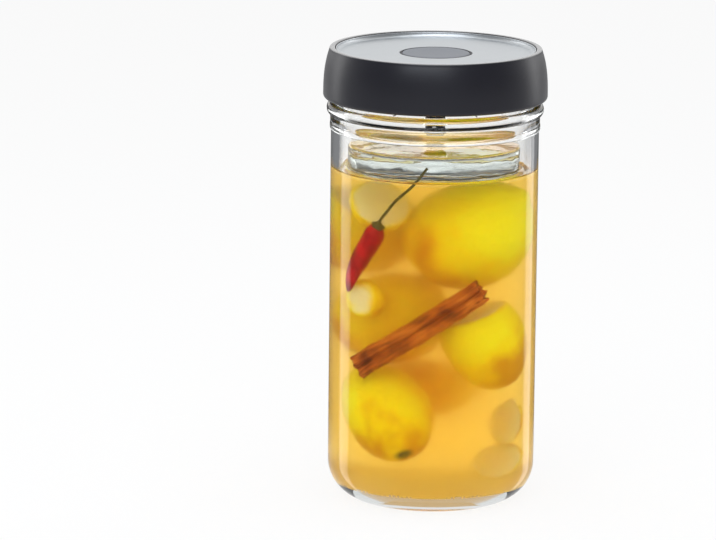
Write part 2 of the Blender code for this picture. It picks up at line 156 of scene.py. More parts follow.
class WeightSizes(bpy.types.PropertyGroup):
    """The glass weight and its knob"""

    thickness: size("Thickness", "Thickness of the disc", 12.7 * MM)
    edge: size("Edge", "Rounding of the disc's edges", 1.6 * MM)
    dish: size("Dish", "Depth of the hollow under the disc", 0.8 * MM)
    dome: size("Dome", "How much higher the middle of the hollow is than its edge", 0.6 * MM)
    rest: size("Rest", "Width of the flat ring under the disc", 3.0 * MM)
    knob_head: size("Knob head", "Radius of the knob's head", 6.4 * MM)
    knob_head_height: size("Knob head height", "Height of the knob's head", 8.0 * MM)
    knob_neck: size("Knob neck", "Radius of the knob's neck", 4.2 * MM)
    knob_fillet: size("Knob fillet", "Rounding where the knob meets the disc", 1.8 * MM)
    waviness: size("Waviness", "How far the pressed faces wander from true", 0.16 * MM)


class FoodSizes(bpy.types.PropertyGroup):
    """Brine, lemons, chilli and cinnamon"""

    meniscus: size("Meniscus", "How far the brine climbs the glass", 1.3 * MM)
    level: size("Level", "Height of the brine beside the weight over the weight's underside", 0.3 * MM)
    into_glass: size("Overlap", "How far the brine's skin lies inside the glass, to leave no air", 0.15 * MM)
    pore: size("Pore", "Distance between the pores of the peel", 1.9 * MM)
    pith: size("Pith", "Thickness of the white pith", 3.4 * MM)
    chilli_radius: size("Chilli radius", "Radius of the chilli at its shoulder", 5.0 * MM)
    stem_radius: size("Stem radius", "Radius of the chilli's stem", 0.65 * MM)
    bark: size("Bark", "Thickness of the cinnamon bark", 1.0 * MM)
    quill: size("Quill", "Radius of one roll of the cinnamon stick", 3.2 * MM)


class Finishes(bpy.types.PropertyGroup):
    """Colours"""

    glass: shade("Glass", "Clear glass, as a thick piece tints what is behind it", "#E4EAE8")
    band: shade("Band", "Black polypropylene", "#13131D")
    button: shade("Button", "Grey polypropylene", "#666A72")
    steel: shade("Steel", "Satin stainless steel", "#C6CACD")
    silicone: shade("Silicone", "Gasket and valve seal", "#C9CCCE")
    acetal: shade("Acetal", "Valve stem", "#E6E4DC")
    brine: shade("Brine", "Light that the brine lets through", "#F4DC52")
    brine_haze: shade("Brine haze", "The cloud of lemon and salt in the brine", "#FFF1B4")
    brine_face: shade("Brine face", "Tint of the brine's own surface", "#FFF3B4")
    peel: shade("Peel", "Ripe lemon peel", "#FFE000")
    peel_light: shade("Light peel", "Paler patches of the peel", "#FFF01E")
    # Darker peel patches, whose orange also stands for painted shade on the lemons
    peel_deep_and_shade: shade("Deep peel and shade", "Darker patches of the peel", "#E0A000")
    pith: shade("Pith", "White pith", "#F7EFD6")
    flesh: shade("Flesh", "Lemon flesh", "#DEDA9C")
    stem_scar: shade("Stem scar", "Where the lemon hung", "#5C5A14")
    chilli: shade("Chilli", "Red chilli skin", "#C4101E")
    chilli_deep: shade("Deep chilli", "Darker patches of the chilli", "#8E0A12")
    stem: shade("Stem", "Chilli stem and calyx", "#5A5012")
    bark: shade("Bark", "Cinnamon bark", "#B65A1E")
    bark_light: shade("Light bark", "Pale fibres of the bark", "#D98338")
    bark_deep: shade("Deep bark", "Dark seams of the bark", "#6A2A0C")
    floor: shade("Floor", "Table and backdrop", "#E8E8E8")
    # Painted glow on the table for light that turns back inside the glass: warm near the jar, dim further out
    floor_glow_near: shade("Floor glow near", "The table near the jar, as light inside the glass finds it", "#CEAE7C")
    floor_glow_far: shade("Floor glow far", "The table further out, as light inside the glass finds it", "#86878A")


class Studio(bpy.types.PropertyGroup):
    """Camera and lights"""

    distance: size("Camera distance", "From the camera to the jar", 2600 * MM)
    elevation: turn("Camera elevation", "How far the camera looks down", 11.8)
    roll: turn("Camera roll", "How far the picture leans clockwise", 0.6)
    aim_left: size("Aim left", "How far left of the jar the camera aims", 37.0 * MM)
    aim_height: size("Aim height", "Height that the camera aims at", 113.5 * MM)
    picture_width: size("Picture width", "Width that the picture covers at the jar", 353.0 * MM)


# Making meshes


def clamped(value):
    """The value, held between 0 and 1."""
    return min(1.0, max(0.0, value))


def eased(share):
    """A share between 0 and 1 with a soft start and end."""
    return share * share * (3 - 2 * share)


def arc(centre_r, centre_z, radius, start, end, steps):
    """Points of a round stretch of an outline, between two angles in degrees."""
    angles = [math.radians(start + (end - start) * i / steps) for i in range(steps + 1)]
    return [(centre_r + radius * math.cos(a), centre_z + radius * math.sin(a)) for a in angles]


def bulge(wall_r, middle_z, height, stand, steps):
    """The outline of a half-round bead on a wall, from its foot up to its top."""
    angles = [math.pi * (i / steps - 0.5) for i in range(steps + 1)]
    return [(wall_r + stand * math.cos(a), middle_z + height / 2 * math.sin(a)) for a in angles]


def upright(r, low, high, steps):
    """Points up or down a straight wall, without its ends."""
    return [(r, low + (high - low) * i / steps) for i in range(1, steps)]


def crown(radius, rim_z, rise, steps):
    """Points of a shallow dome, from the axis out to its rim. A negative rise makes a hollow."""
    return [(radius * i / steps, rim_z + rise * (1 - (i / steps) ** 2)) for i in range(steps + 1)]


def mesh_object(name, verts, faces, sharp=40):
    """A smooth-shaded object with its faces pointing out, and edges from the angle sharp kept hard."""
    mesh = bpy.data.meshes.new(name)
    mesh.from_pydata(verts, [], faces)
    bm = bmesh.new()
    bm.from_mesh(mesh)
    bmesh.ops.recalc_face_normals(bm, faces=bm.faces)
    bm.to_mesh(mesh)
    bm.free()
    mesh.shade_smooth()
    mesh.set_sharp_from_angle(angle=math.radians(sharp))
    obj = bpy.data.objects.new(name, mesh)
    bpy.context.scene.collection.objects.link(obj)
    return obj


def turned(name, outline, facets, sharp, shape=None):
    """A piece turned round the Z axis. shape(r, z, turn) may move each point.

    An outline that starts on the axis ends there too. Any other one is closed, and leaves a bore.
    """
    verts, rings = [], []
    for r, z in outline:
        count = facets if r > 0 else 1
        rings.append(range(len(verts), len(verts) + count))
        for i in range(count):
            t = 2 * math.pi * i / facets
            at_r, at_z = shape(r, z, t) if shape else (r, z)
            verts.append((at_r * math.cos(t), at_r * math.sin(t), at_z))
    pairs = list(zip(rings, rings[1:]))
    if outline[0][0] > 0:
        pairs.append((rings[-1], rings[0]))
    faces = []
    for one, other in pairs:
        for i in range(facets):
            j = (i + 1) % facets
            corners = [one[i % len(one)], other[i % len(other)], other[j % len(other)], one[j % len(one)]]
            faces.append(list(dict.fromkeys(corners)))
    return mesh_object(name, verts, faces, sharp)


def smooth_path(points, steps):
    """A smooth curve through the points."""
    ends = [2 * points[0] - points[1], *points, 2 * points[-1] - points[-2]]
    path = []
    for a, b, c, d in zip(ends, ends[1:], ends[2:], ends[3:]):
        slope, bend, twist = c - a, 2 * a - 5 * b + 4 * c - d, 3 * b - a - 3 * c + d
        for i in range(steps):
            t = i / steps
            path.append(0.5 * (2 * b + slope * t + bend * t * t + twist * t**3))
    return [*path, points[-1]]


def swept(name, path, section):
    """A tube with closed ends along the path. section(share, turn) is its radius there."""
    sides, last = 24, len(path) - 1
    side = (path[1] - path[0]).orthogonal().normalized()
    verts = [path[0]]
    for i, point in enumerate(path):
        along = (path[min(i + 1, last)] - path[max(i - 1, 0)]).normalized()
        side = (side - side.dot(along) * along).normalized()
        other = along.cross(side)
        for k in range(sides):
            t = 2 * math.pi * k / sides
            verts.append(point + section(i / last, t) * (side * math.cos(t) + other * math.sin(t)))
    verts.append(path[-1])
    faces = []
    for i in range(last):
        for k in range(sides):
            a, b = 1 + i * sides + k, 1 + i * sides + (k + 1) % sides
            faces.append((a, b, b + sides, a + sides))
    end = 1 + last * sides
    for k in range(sides):
        faces.append((0, 1 + (k + 1) % sides, 1 + k))
        faces.append((len(verts) - 1, end + k, end + (k + 1) % sides))
    return mesh_object(name, verts, faces, 60)


def placed(obj, centre, axis, spin):
    """Stands the piece's own Z axis along axis, turns it about that axis by spin and moves it to centre."""
    lean = Vector(axis).normalized().to_track_quat("Z", "Y").to_matrix().to_4x4()
    obj.matrix_world = Matrix.Translation(Vector(centre)) @ lean @ Matrix.Rotation(spin, 4, "Z")


def finished(obj, body, materials, nodes=()):
    """Gives the piece its materials and its body, and hides the CAD nodes that it stands for."""
    for each in materials:
        obj.data.materials.append(each)
    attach(obj, body)
    if nodes:
        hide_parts(*nodes)


def refinished(node, material):
    """Gives a CAD node that keeps its own mesh a better material."""
    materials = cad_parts[node].data.materials
    materials.clear()
    materials.append(material)


# Making materials


def add(tree, kind, inputs=None, stops=(), **settings):
    """Adds a node with its settings, its inputs as values or links, and a ramp's (position, colour) stops.

    A node that is given as an input stands for the first of its outputs in use.
    """
    made = tree.nodes.new(kind)
    for key, value in settings.items():
        setattr(made, key, value)
    for key, value in (inputs or {}).items():
        if isinstance(value, bpy.types.Node):
            value = next(output for output in value.outputs if output.enabled)
        if isinstance(value, bpy.types.NodeSocket):
            tree.links.new(value, made.inputs[key])
        else:
            made.inputs[key].default_value = value
    if stops:
        marks = made.color_ramp.elements
        while len(marks) < len(stops):
            marks.new(0.5)
        for mark, (position, colour) in zip(marks, stops):
            mark.position = position
            mark.color = solid(colour)
    return made


def solid(colour):
    """The colour with full alpha."""
    return (*colour, 1.0)


def dimmed(colour, share):
    """The colour with only a share of its light."""
    return [part * share for part in colour]


def new_material(name):
    """An empty material and its tree."""
    made = bpy.data.materials.new(name)
    made.use_nodes = True
    made.node_tree.nodes.clear()
    return made, made.node_tree


def lets_light_in(tree, glass, tint):
    """Glass that lamps and bounced light pass straight through, so that what it holds is lit."""
    clear = add(tree, "ShaderNodeBsdfTransparent", {"Color": solid(tint)})
    path = add(tree, "ShaderNodeLightPath").outputs
    bounced = add(tree, "ShaderNodeMixShader", {0: path["Is Diffuse Ray"], 1: glass, 2: clear})
    return add(tree, "ShaderNodeMixShader", {0: path["Is Shadow Ray"], 1: bounced, 2: clear})


def glass_material(name, colour, wave, wave_depth):
    """Soda-lime glass, pressed or blown: clear, with the slow waves that the mould and the flame leave.

    Its own tint only shows at edges, where the eye looks through centimetres of it.
    """
    made, tree = new_material(name)
    where = add(tree, "ShaderNodeTexCoord").outputs["Object"]
    waves = add(tree, "ShaderNodeTexNoise", {"Vector": where, "Scale": 1 / wave, "Detail": 2.0})
    bump = add(tree, "ShaderNodeBump", {"Height": waves, "Strength": 1.0, "Distance": wave_depth})
    glass = add(
        tree,
        "ShaderNodeBsdfPrincipled",
        {
            "Base Color": (1, 1, 1, 1),
            "Roughness": 0.0,
            "IOR": 1.52,
            "Transmission Weight": 1.0,
            "Specular Tint": (0.5, 0.5, 0.5, 1),
            "Normal": bump,
        },
    )
    surface = lets_light_in(tree, glass, (0.98, 0.98, 0.98))
    inside = add(tree, "ShaderNodeVolumeAbsorption", {"Color": solid(colour), "Density": 20.0})
    add(tree, "ShaderNodeOutputMaterial", {"Surface": surface, "Volume": inside})
    return made


def brine_material(finishes):
    """Old brine, cloudy with salt, pith and oil: what lies deep in it turns soft and amber.

    Under the weight its skin is yellowed and blurred, as a film on the glass makes it. Its open face
    beside the weight is clear.
    """
    film_top, fade = WEIGHT_LOW.z, 1.0 * MM
    made, tree = new_material("cloudy brine")
    where = add(tree, "ShaderNodeTexCoord").outputs["Object"]
    height = add(tree, "ShaderNodeSeparateXYZ", {0: where}).outputs["Z"]
    open_face = add(
        tree, "ShaderNodeMapRange", {"Value": height, "From Min": film_top - fade, "From Max": film_top}
    )
    tone = add(tree, "ShaderNodeValToRGB", {"Fac": open_face}, [(0.0, finishes.brine_face), (1.0, (1, 1, 1))])
    rough = add(tree, "ShaderNodeMapRange", {"Value": open_face, "To Min": 0.25, "To Max": 0.0})
    water = add(
        tree,
        "ShaderNodeBsdfPrincipled",
        {
            "Base Color": tone,
            "Roughness": rough,
            "IOR": 1.345,
            "Transmission Weight": 1.0,
            "Specular Tint": (0.05, 0.05, 0.05, 1),
        },
    )
    surface = lets_light_in(tree, water, (1, 1, 1))
    stain = add(tree, "ShaderNodeVolumeAbsorption", {"Color": solid(finishes.brine), "Density": 28.0})
    cloud = add(
        tree,
        "ShaderNodeVolumeScatter",
        {"Color": solid(finishes.brine_haze), "Density": 26.0, "Anisotropy": 0.88},
    )
    volume = add(tree, "ShaderNodeAddShader", {0: stain, 1: cloud})
    add(tree, "ShaderNodeOutputMaterial", {"Surface": surface, "Volume": volume})
    return made


def plastic_material(name, colour, roughness, grain, polish=0.0):
    """Injection-moulded polypropylene or acetal: an even colour with the fine eroded grain of its mould.

    The real grain is about 0.1 mm wide and is drawn coarser, to show. Where the mould is polished, a
    clear gloss lies over the grain.
    """
    flow_width, grain_depth, rough_spread = 22 * MM, 0.03 * MM, 0.05
    made, tree = new_material(name)
    where = add(tree, "ShaderNodeTexCoord").outputs["Object"]
    grains = add(tree, "ShaderNodeTexNoise", {"Vector": where, "Scale": 1 / grain, "Detail": 3.0})
    bump = add(tree, "ShaderNodeBump", {"Height": grains, "Strength": 0.35, "Distance": grain_depth})
    flow = add(tree, "ShaderNodeTexNoise", {"Vector": where, "Scale": 1 / flow_width, "Detail": 2.0})
    tone = add(tree, "ShaderNodeValToRGB", {"Fac": flow}, [(0.3, dimmed(colour, 0.88)), (0.7, colour)])
    rough = add(
        tree,
        "ShaderNodeMapRange",
        {"Value": flow, "To Min": roughness - rough_spread, "To Max": roughness + rough_spread},
    )
    shader = add(
        tree,
        "ShaderNodeBsdfPrincipled",
        {
            "Base Color": tone,
            "Roughness": rough,
            "IOR": 1.49,
            "Coat Weight": polish,
            "Coat Roughness": 0.12,
            "Coat IOR": 1.6,
            "Normal": bump,
        },
    )
    add(tree, "ShaderNodeOutputMaterial", {"Surface": shader})
    return made


def steel_material(name, colour, roughness):
    """Satin stainless steel, spun against a fine pad: faint rings round its middle.

    The real rings are finer than 0.1 mm, and are drawn coarser to show.
    """
    ring_width, ring_depth, cloud_width, rough_spread = 0.35 * MM, 0.02 * MM, 30 * MM, 0.04
    made, tree = new_material(name)
    where = add(tree, "ShaderNodeTexCoord").outputs["Object"]
    across = add(tree, "ShaderNodeVectorMath", {0: where, 1: (1, 1, 0)}, operation="MULTIPLY")
    radius = add(tree, "ShaderNodeVectorMath", {0: across}, operation="LENGTH")
    rings = add(
        tree,
        "ShaderNodeTexNoise",
        {"W": radius, "Scale": 1 / ring_width, "Detail": 2.0},
        noise_dimensions="1D",
    )
    bump = add(tree, "ShaderNodeBump", {"Height": rings, "Strength": 0.25, "Distance": ring_depth})
    tone = add(tree, "ShaderNodeValToRGB", {"Fac": rings}, [(0.3, dimmed(colour, 0.94)), (0.7, colour)])
    cloud = add(tree, "ShaderNodeTexNoise", {"Vector": where, "Scale": 1 / cloud_width, "Detail": 3.0})
    rough = add(
        tree,
        "ShaderNodeMapRange",
        {"Value": cloud, "To Min": roughness - rough_spread, "To Max": roughness + rough_spread},
    )
    shader = add(
        tree,
        "ShaderNodeBsdfPrincipled",
        {"Base Color": tone, "Metallic": 1.0, "Roughness": rough, "Normal": bump},
    )
    add(tree, "ShaderNodeOutputMaterial", {"Surface": shader})
    return made


def silicone_material(finishes):
    """Moulded food-grade silicone: milky, matt and slightly see-through at its edges."""
    dust_width, light_depth = 2 * MM, 1.0 * MM
    made, tree = new_material("milky silicone")
    where = add(tree, "ShaderNodeTexCoord").outputs["Object"]
    dust = add(tree, "ShaderNodeTexNoise", {"Vector": where, "Scale": 1 / dust_width, "Detail": 3.0})
    shades = [(0.35, dimmed(finishes.silicone, 0.9)), (0.65, finishes.silicone)]
    tone = add(tree, "ShaderNodeValToRGB", {"Fac": dust}, shades)
    shader = add(
        tree,
        "ShaderNodeBsdfPrincipled",
        {
            "Base Color": tone,
            "Roughness": 0.55,
            "IOR": 1.43,
            "Subsurface Weight": 0.3,
            "Subsurface Radius": (1, 1, 1),
            "Subsurface Scale": light_depth,
        },
    )
    add(tree, "ShaderNodeOutputMaterial", {"Surface": shader})
    return made


def peel_material(finishes, sizes):
    """Lemon peel after weeks in brine: oily yellow and dimpled by its pores. It is deeper towards the stem
    end, as its own tone and as painted shade, since most stem ends lie low in the jar.

    It glows a little where light is behind it. At the stem scar it is green, and where a soft cut has
    bared it the pith shows.
    """
    patch_width, pore_depth, light_depth = 26 * MM, 0.35 * MM, 6.0 * MM
    # Where the painted shade towards the stem end begins and ends, and how far it lifts the tone
    heel_shade_from, heel_shade_to, heel_shade_lift = 4 * MM, 34 * MM, 0.3
    scar, scar_rim = 2.0 * MM, 5.5 * MM
    made, tree = new_material("lemon peel")
    where = add(tree, "ShaderNodeTexCoord").outputs["Object"]
    patches = add(tree, "ShaderNodeTexNoise", {"Vector": where, "Scale": 1 / patch_width, "Detail": 3.0})
    own = add(tree, "ShaderNodeAttribute", attribute_name=OWN_PLACE).outputs["Vector"]
    along = add(tree, "ShaderNodeSeparateXYZ", {0: own}).outputs["Z"]
    # Deeper towards the stem end and lighter towards the tip: the lemon's own tone, and painted shade on its
    # lower parts, since most stem ends lie low in the jar
    heel_tone_and_shade = add(
        tree,
        "ShaderNodeMapRange",
        {"Value": along, "From Min": heel_shade_from, "From Max": heel_shade_to, "To Max": heel_shade_lift},
    )
    share = add(tree, "ShaderNodeMath", {0: patches, 1: heel_tone_and_shade}, operation="ADD")
    shades = [(0.44, finishes.peel_deep_and_shade), (0.62, finishes.peel), (0.8, finishes.peel_light)]
    tone = add(tree, "ShaderNodeValToRGB", {"Fac": share}, shades)
    reach = add(tree, "ShaderNodeVectorMath", {0: own}, operation="LENGTH")
    off_scar = add(tree, "ShaderNodeMapRange", {"Value": reach, "From Min": scar, "From Max": scar_rim})
    scarred = add(
        tree,
        "ShaderNodeMix",
        {"Factor": off_scar, "A": solid(finishes.stem_scar), "B": tone},
        data_type="RGBA",
    )
    bare = add(tree, "ShaderNodeAttribute", attribute_name=BARE).outputs["Fac"]
    worn = add(
        tree, "ShaderNodeMix", {"Factor": bare, "A": scarred, "B": solid(finishes.pith)}, data_type="RGBA"
    )
    pores = add(tree, "ShaderNodeTexVoronoi", {"Vector": where, "Scale": 1 / sizes.pore}, feature="SMOOTH_F1")
    bump = add(tree, "ShaderNodeBump", {"Height": pores, "Strength": 0.7, "Distance": pore_depth})
    shader = add(
        tree,
        "ShaderNodeBsdfPrincipled",
        {
            "Base Color": worn,
            "Roughness": 0.42,
            "IOR": 1.45,
            "Specular IOR Level": 0.06,
            "Subsurface Weight": 0.35,
            "Subsurface Radius": (1.0, 0.6, 0.12),
            "Subsurface Scale": light_depth,
            "Normal": bump,
        },
    )
    add(tree, "ShaderNodeOutputMaterial", {"Surface": shader})
    return made


def flesh_material(finishes, sizes):
    """A cut lemon: white pith round pale segments, with thin walls between them."""
    cut_radius, pulp_edge, segments = 13 * MM, 0.8 * MM, 9
    pulp_width, pulp_depth, light_depth = 1.6 * MM, 0.4 * MM, 4.0 * MM
    made, tree = new_material("cut lemon")
    own = add(tree, "ShaderNodeAttribute", attribute_name=OWN_PLACE).outputs["Vector"]
    pulp = add(tree, "ShaderNodeTexNoise", {"Vector": own, "Scale": 1 / pulp_width, "Detail": 2.0})
    bump = add(tree, "ShaderNodeBump", {"Height": pulp, "Strength": 0.5, "Distance": pulp_depth})
    shades = [(0.35, dimmed(finishes.flesh, 0.85)), (0.65, finishes.flesh)]
    juicy = add(tree, "ShaderNodeValToRGB", {"Fac": pulp}, shades)
    parts = add(tree, "ShaderNodeSeparateXYZ", {0: own}).outputs
    angle = add(tree, "ShaderNodeMath", {0: parts["Y"], 1: parts["X"]}, operation="ARCTAN2")
    spokes = add(tree, "ShaderNodeMath", {0: angle, 1: segments / 2}, operation="MULTIPLY")
    wave = add(tree, "ShaderNodeMath", {0: spokes}, operation="SINE")
    off_wall = add(tree, "ShaderNodeMath", {0: wave}, operation="ABSOLUTE")
    in_segment = add(tree, "ShaderNodeMapRange", {"Value": off_wall, "From Min": 0.08, "From Max": 0.2})
    across = add(tree, "ShaderNodeVectorMath", {0: own, 1: (1, 1, 0)}, operation="MULTIPLY")
    reach = add(tree, "ShaderNodeVectorMath", {0: across}, operation="LENGTH")
    pith_edge = cut_radius - sizes.pith
    in_pulp = add(
        tree, "ShaderNodeMapRange", {"Value": reach, "From Min": pith_edge, "From Max": pith_edge - pulp_edge}
    )
    share = add(tree, "ShaderNodeMath", {0: in_segment, 1: in_pulp}, operation="MULTIPLY")
    tone = add(
        tree, "ShaderNodeMix", {"Factor": share, "A": solid(finishes.pith), "B": juicy}, data_type="RGBA"
    )
    shader = add(
        tree,
        "ShaderNodeBsdfPrincipled",
        {
            "Base Color": tone,
            "Roughness": 0.4,
            "IOR": 1.38,
            "Subsurface Weight": 0.4,
            "Subsurface Radius": (1.0, 0.8, 0.5),
            "Subsurface Scale": light_depth,
            "Normal": bump,
        },
    )
    add(tree, "ShaderNodeOutputMaterial", {"Surface": shader})
    return made


def chilli_material(finishes):
    """Chilli skin: taut, waxy and dark red, with slow darker patches."""
    patch_width, patch_depth, light_depth = 9 * MM, 0.8 * MM, 2.0 * MM
    made, tree = new_material("chilli skin")
    where = add(tree, "ShaderNodeTexCoord").outputs["Object"]
    patches = add(tree, "ShaderNodeTexNoise", {"Vector": where, "Scale": 1 / patch_width, "Detail": 3.0})
    bump = add(tree, "ShaderNodeBump", {"Height": patches, "Strength": 0.3, "Distance": patch_depth})
    shades = [(0.35, finishes.chilli_deep), (0.6, finishes.chilli)]
    tone = add(tree, "ShaderNodeValToRGB", {"Fac": patches}, shades)
    shader = add(
        tree,
        "ShaderNodeBsdfPrincipled",
        {
            "Base Color": tone,
            "Roughness": 0.28,
            "IOR": 1.45,
            "Specular IOR Level": 0.12,
            "Subsurface Weight": 0.15,
            "Subsurface Radius": (1.0, 0.2, 0.1),
            "Subsurface Scale": light_depth,
            "Normal": bump,
        },
    )
    add(tree, "ShaderNodeOutputMaterial", {"Surface": shader})
    return made


def stem_material(finishes):
    """Dried green stem: ribbed and wrinkled, and browner in its grooves."""
    rib_width, rib_depth = 1.2 * MM, 0.2 * MM
    made, tree = new_material("chilli stem")
    where = add(tree, "ShaderNodeTexCoord").outputs["Object"]
    ribs = add(tree, "ShaderNodeTexNoise", {"Vector": where, "Scale": 1 / rib_width, "Detail": 3.0})
    bump = add(tree, "ShaderNodeBump", {"Height": ribs, "Strength": 0.5, "Distance": rib_depth})
    shades = [(0.3, dimmed(finishes.stem, 0.55)), (0.7, finishes.stem)]
    tone = add(tree, "ShaderNodeValToRGB", {"Fac": ribs}, shades)
    shader = add(
        tree, "ShaderNodeBsdfPrincipled", {"Base Color": tone, "Roughness": 0.6, "IOR": 1.45, "Normal": bump}
    )
    add(tree, "ShaderNodeOutputMaterial", {"Surface": shader})
    return made


def bark_material(finishes):
    """Cinnamon bark: rolled inner bark with long pale fibres and darker seams between them."""
    fibre_width, fibre_depth, fibre_length, patch_width = 0.9 * MM, 0.4 * MM, 12.5, 12 * MM
    made, tree = new_material("cinnamon bark")
    where = add(tree, "ShaderNodeTexCoord").outputs["Object"]
    drawn_out = add(tree, "ShaderNodeMapping", {"Vector": where, "Scale": (1, 1, 1 / fibre_length)})
    fibres = add(tree, "ShaderNodeTexNoise", {"Vector": drawn_out, "Scale": 1 / fibre_width, "Detail": 4.0})
    patches = add(tree, "ShaderNodeTexNoise", {"Vector": where, "Scale": 1 / patch_width, "Detail": 2.0})
    both = add(tree, "ShaderNodeMath", {0: fibres, 1: patches}, operation="ADD")
    share = add(tree, "ShaderNodeMath", {0: both, 1: 0.5}, operation="MULTIPLY")
    shades = [(0.38, finishes.bark_deep), (0.5, finishes.bark), (0.62, finishes.bark_light)]
    tone = add(tree, "ShaderNodeValToRGB", {"Fac": share}, shades)
    bump = add(tree, "ShaderNodeBump", {"Height": fibres, "Strength": 0.8, "Distance": fibre_depth})
    shader = add(
        tree,
        "ShaderNodeBsdfPrincipled",
        {"Base Color": tone, "Roughness": 0.7, "IOR": 1.45, "Specular IOR Level": 0.06, "Normal": bump},
    )
    add(tree, "ShaderNodeOutputMaterial", {"Surface": shader})
    return made


# The jar


def ridge_share(t, z, middle_z, starts, lead, arc_span, height):
    """How far a point on a turned wall stands up on the nearest thread ridge, from 0 to 1."""
    step = 2 * math.pi / starts
    off = (t + step / 2) % step - step / 2
    end_fade = math.radians(6)
    along = clamped((arc_span / 2 - abs(off)) / end_fade)
    rise = abs(z - middle_z - lead * off / (2 * math.pi))
    across = clamped((height / 2 - rise) / (height / 4))
    return along * eased(across)


def build_jar(context):
    """The jar: its hollow foot, wall, parting ring, bead, threaded finish and lip, and its wavy inside."""
    jar, thread, looks = context.scene.jar_sizes, context.scene.thread_sizes, context.scene.finishes
    bore = jar.radius - jar.wall
    neck = jar.radius + jar.neck_stand
    finish = jar.radius - jar.finish_step
    mouth = finish - jar.finish_wall
    bead_top = JAR_TOP - jar.finish_height
    bead_z = bead_top - jar.bead_height / 2
    ring_z = bead_z - jar.ring_drop
    foot_r = jar.radius - jar.corner
    punt_r = foot_r - jar.foot
    inner_corner = jar.corner - jar.wall
    root, foot_rise, foot_round = 0.4 * MM, 0.15 * MM, 0.6 * MM
    shoulder, hip = 0.16, 0.84
    floor_rise, floor_half_rise = 0.5 * MM, 0.3 * MM
    outline = [
        (0, jar.punt),
        (punt_r / 2, jar.punt),
        (punt_r - 2 * jar.punt, jar.punt),
        (punt_r, foot_rise),
        (punt_r + foot_round, 0),
        *arc(foot_r, jar.corner, jar.corner, -90, 0, 24),
        *upright(jar.radius, jar.corner, ring_z - jar.ring_height / 2, 40),
        *bulge(jar.radius, ring_z, jar.ring_height, jar.ring_stand, 12)[:7],
        *bulge(neck, ring_z, jar.ring_height, jar.ring_stand - jar.neck_stand, 12)[7:],
        *bulge(neck, bead_z, jar.bead_height, jar.bead_stand, 18)[:-1],
        (finish + root, bead_top),
        (finish, bead_top + root),
        *upright(finish, bead_top + root, JAR_TOP - jar.lip, 44),
        *arc(finish - jar.lip, JAR_TOP - jar.lip, jar.lip, 0, 90, 7),
        *arc(mouth + jar.lip, JAR_TOP - jar.lip, jar.lip, 90, 180, 7),
        *upright(mouth, JAR_TOP - jar.lip, bead_top, 6),
        (mouth, bead_top),
        (mouth + (bore - mouth) * shoulder, bead_top - jar.neck_slope / 3),
        (mouth + (bore - mouth) * hip, bead_top - jar.neck_slope * 2 / 3),
        (bore, bead_top - jar.neck_slope),
        *upright(bore, bead_top - jar.neck_slope, jar.base + inner_corner, 40),
        *arc(bore - inner_corner, jar.base + inner_corner, inner_corner, 0, -90, 20),
        ((bore - inner_corner) / 2, jar.base + floor_half_rise),
        (0, jar.base + floor_rise),
    ]
    ridge_z = JAR_TOP - thread.drop
    half_wall = (finish + mouth) / 2
    slow_lobes, slow_rise, fine_lobes, fine_rise = 5, 60 * MM, 17, 35 * MM
    still, fade = 3 * MM, 10 * MM

    def shape(r, z, t):
        """Raises the thread outside, and lets the blown inner wall wander above its base."""
        if r > half_wall:
            if bead_top < z:
                up = ridge_share(t, z, ridge_z, thread.starts, thread.lead, thread.ridge_arc, thread.height)
                return r + thread.depth * up, z
            return r, z
        x, y = math.cos(t), math.sin(t)
        slow = noise.noise(Vector((x * slow_lobes, y * slow_lobes, z / slow_rise)))
        fine = noise.noise(Vector((x * fine_lobes, y * fine_lobes, z / fine_rise + 9)))
        loose = clamped((z - jar.base - still) / fade)
        return r + loose * jar.waviness * (slow + 0.5 * fine), z

    made = turned("clear_jar", outline, 192, 50, shape)
    glass = glass_material("blown soda lime glass", looks.glass, 26 * MM, 0.05 * MM)
    finished(made, "jar", [glass], ["jar"])


def underside_radii(weight):
    """Where the weight's lower edge starts to round, its flat ring ends and its hollow levels out."""
    edge_r = WEIGHT_HIGH.x - weight.edge
    rest_r = edge_r - weight.rest
    return edge_r, rest_r, rest_r - 2 * weight.dish


def build_weight(context):
    """The weight: a knob on a thick disc, which stands on a flat ring round a shallow hollow."""
    weight, looks = context.scene.weight_sizes, context.scene.finishes
    low, high = WEIGHT_LOW.z, WEIGHT_HIGH.z
    top = low + weight.thickness
    radius = WEIGHT_HIGH.x
    head_round = weight.knob_head_height / 2
    head_flat = weight.knob_head - head_round
    neck_angle = -math.degrees(math.acos((weight.knob_neck - head_flat) / head_round))
    fillet_r = weight.knob_neck + weight.knob_fillet
    edge_r, rest_r, dish_r = underside_radii(weight)
    outline = [
        (0, high),
        *arc(head_flat, high - head_round, head_round, 90, neck_angle, 20),
        *arc(fillet_r, top + weight.knob_fillet, weight.knob_fillet, 180, 270, 8),
        *[(fillet_r + (edge_r - fillet_r) * i / 24, top) for i in range(1, 24)],
        *arc(edge_r, top - weight.edge, weight.edge, 90, 0, 8),
        *upright(radius, top - weight.edge, low + weight.edge, 8),
        *arc(edge_r, low + weight.edge, weight.edge, 0, -90, 8),
        (rest_r, low),
        (rest_r - weight.dish, low + weight.dish * 0.5),
        *reversed(crown(dish_r, low + weight.dish, weight.dome, 24)),
    ]
    true_r, slow_wave, fine_wave, hair = 12 * MM, 11 * MM, 4 * MM, 0.01 * MM

    def shape(r, z, t):
        """Waves the side and the hollow underneath, and leaves the knob and the middle true."""
        if r < true_r:
            return r, z
        at = Vector((r * math.cos(t), r * math.sin(t), z))
        wave = noise.noise(at / slow_wave) + 0.5 * noise.noise(at / fine_wave + Vector((7, 0, 0)))
        if low + 0.5 * weight.dish < z < low + 1.5 * weight.dish + weight.dome:
            return r, z + 1.5 * weight.waviness * wave
        if r > radius - hair:
            return r - weight.waviness * abs(wave), z
        return r, z

    made = turned("clear_weight", outline, 160, 50, shape)
    glass = glass_material("pressed soda lime glass", looks.glass, 9 * MM, 0.10 * MM)
    finished(made, "weight", [glass], ["glass_weight"])


# The lid


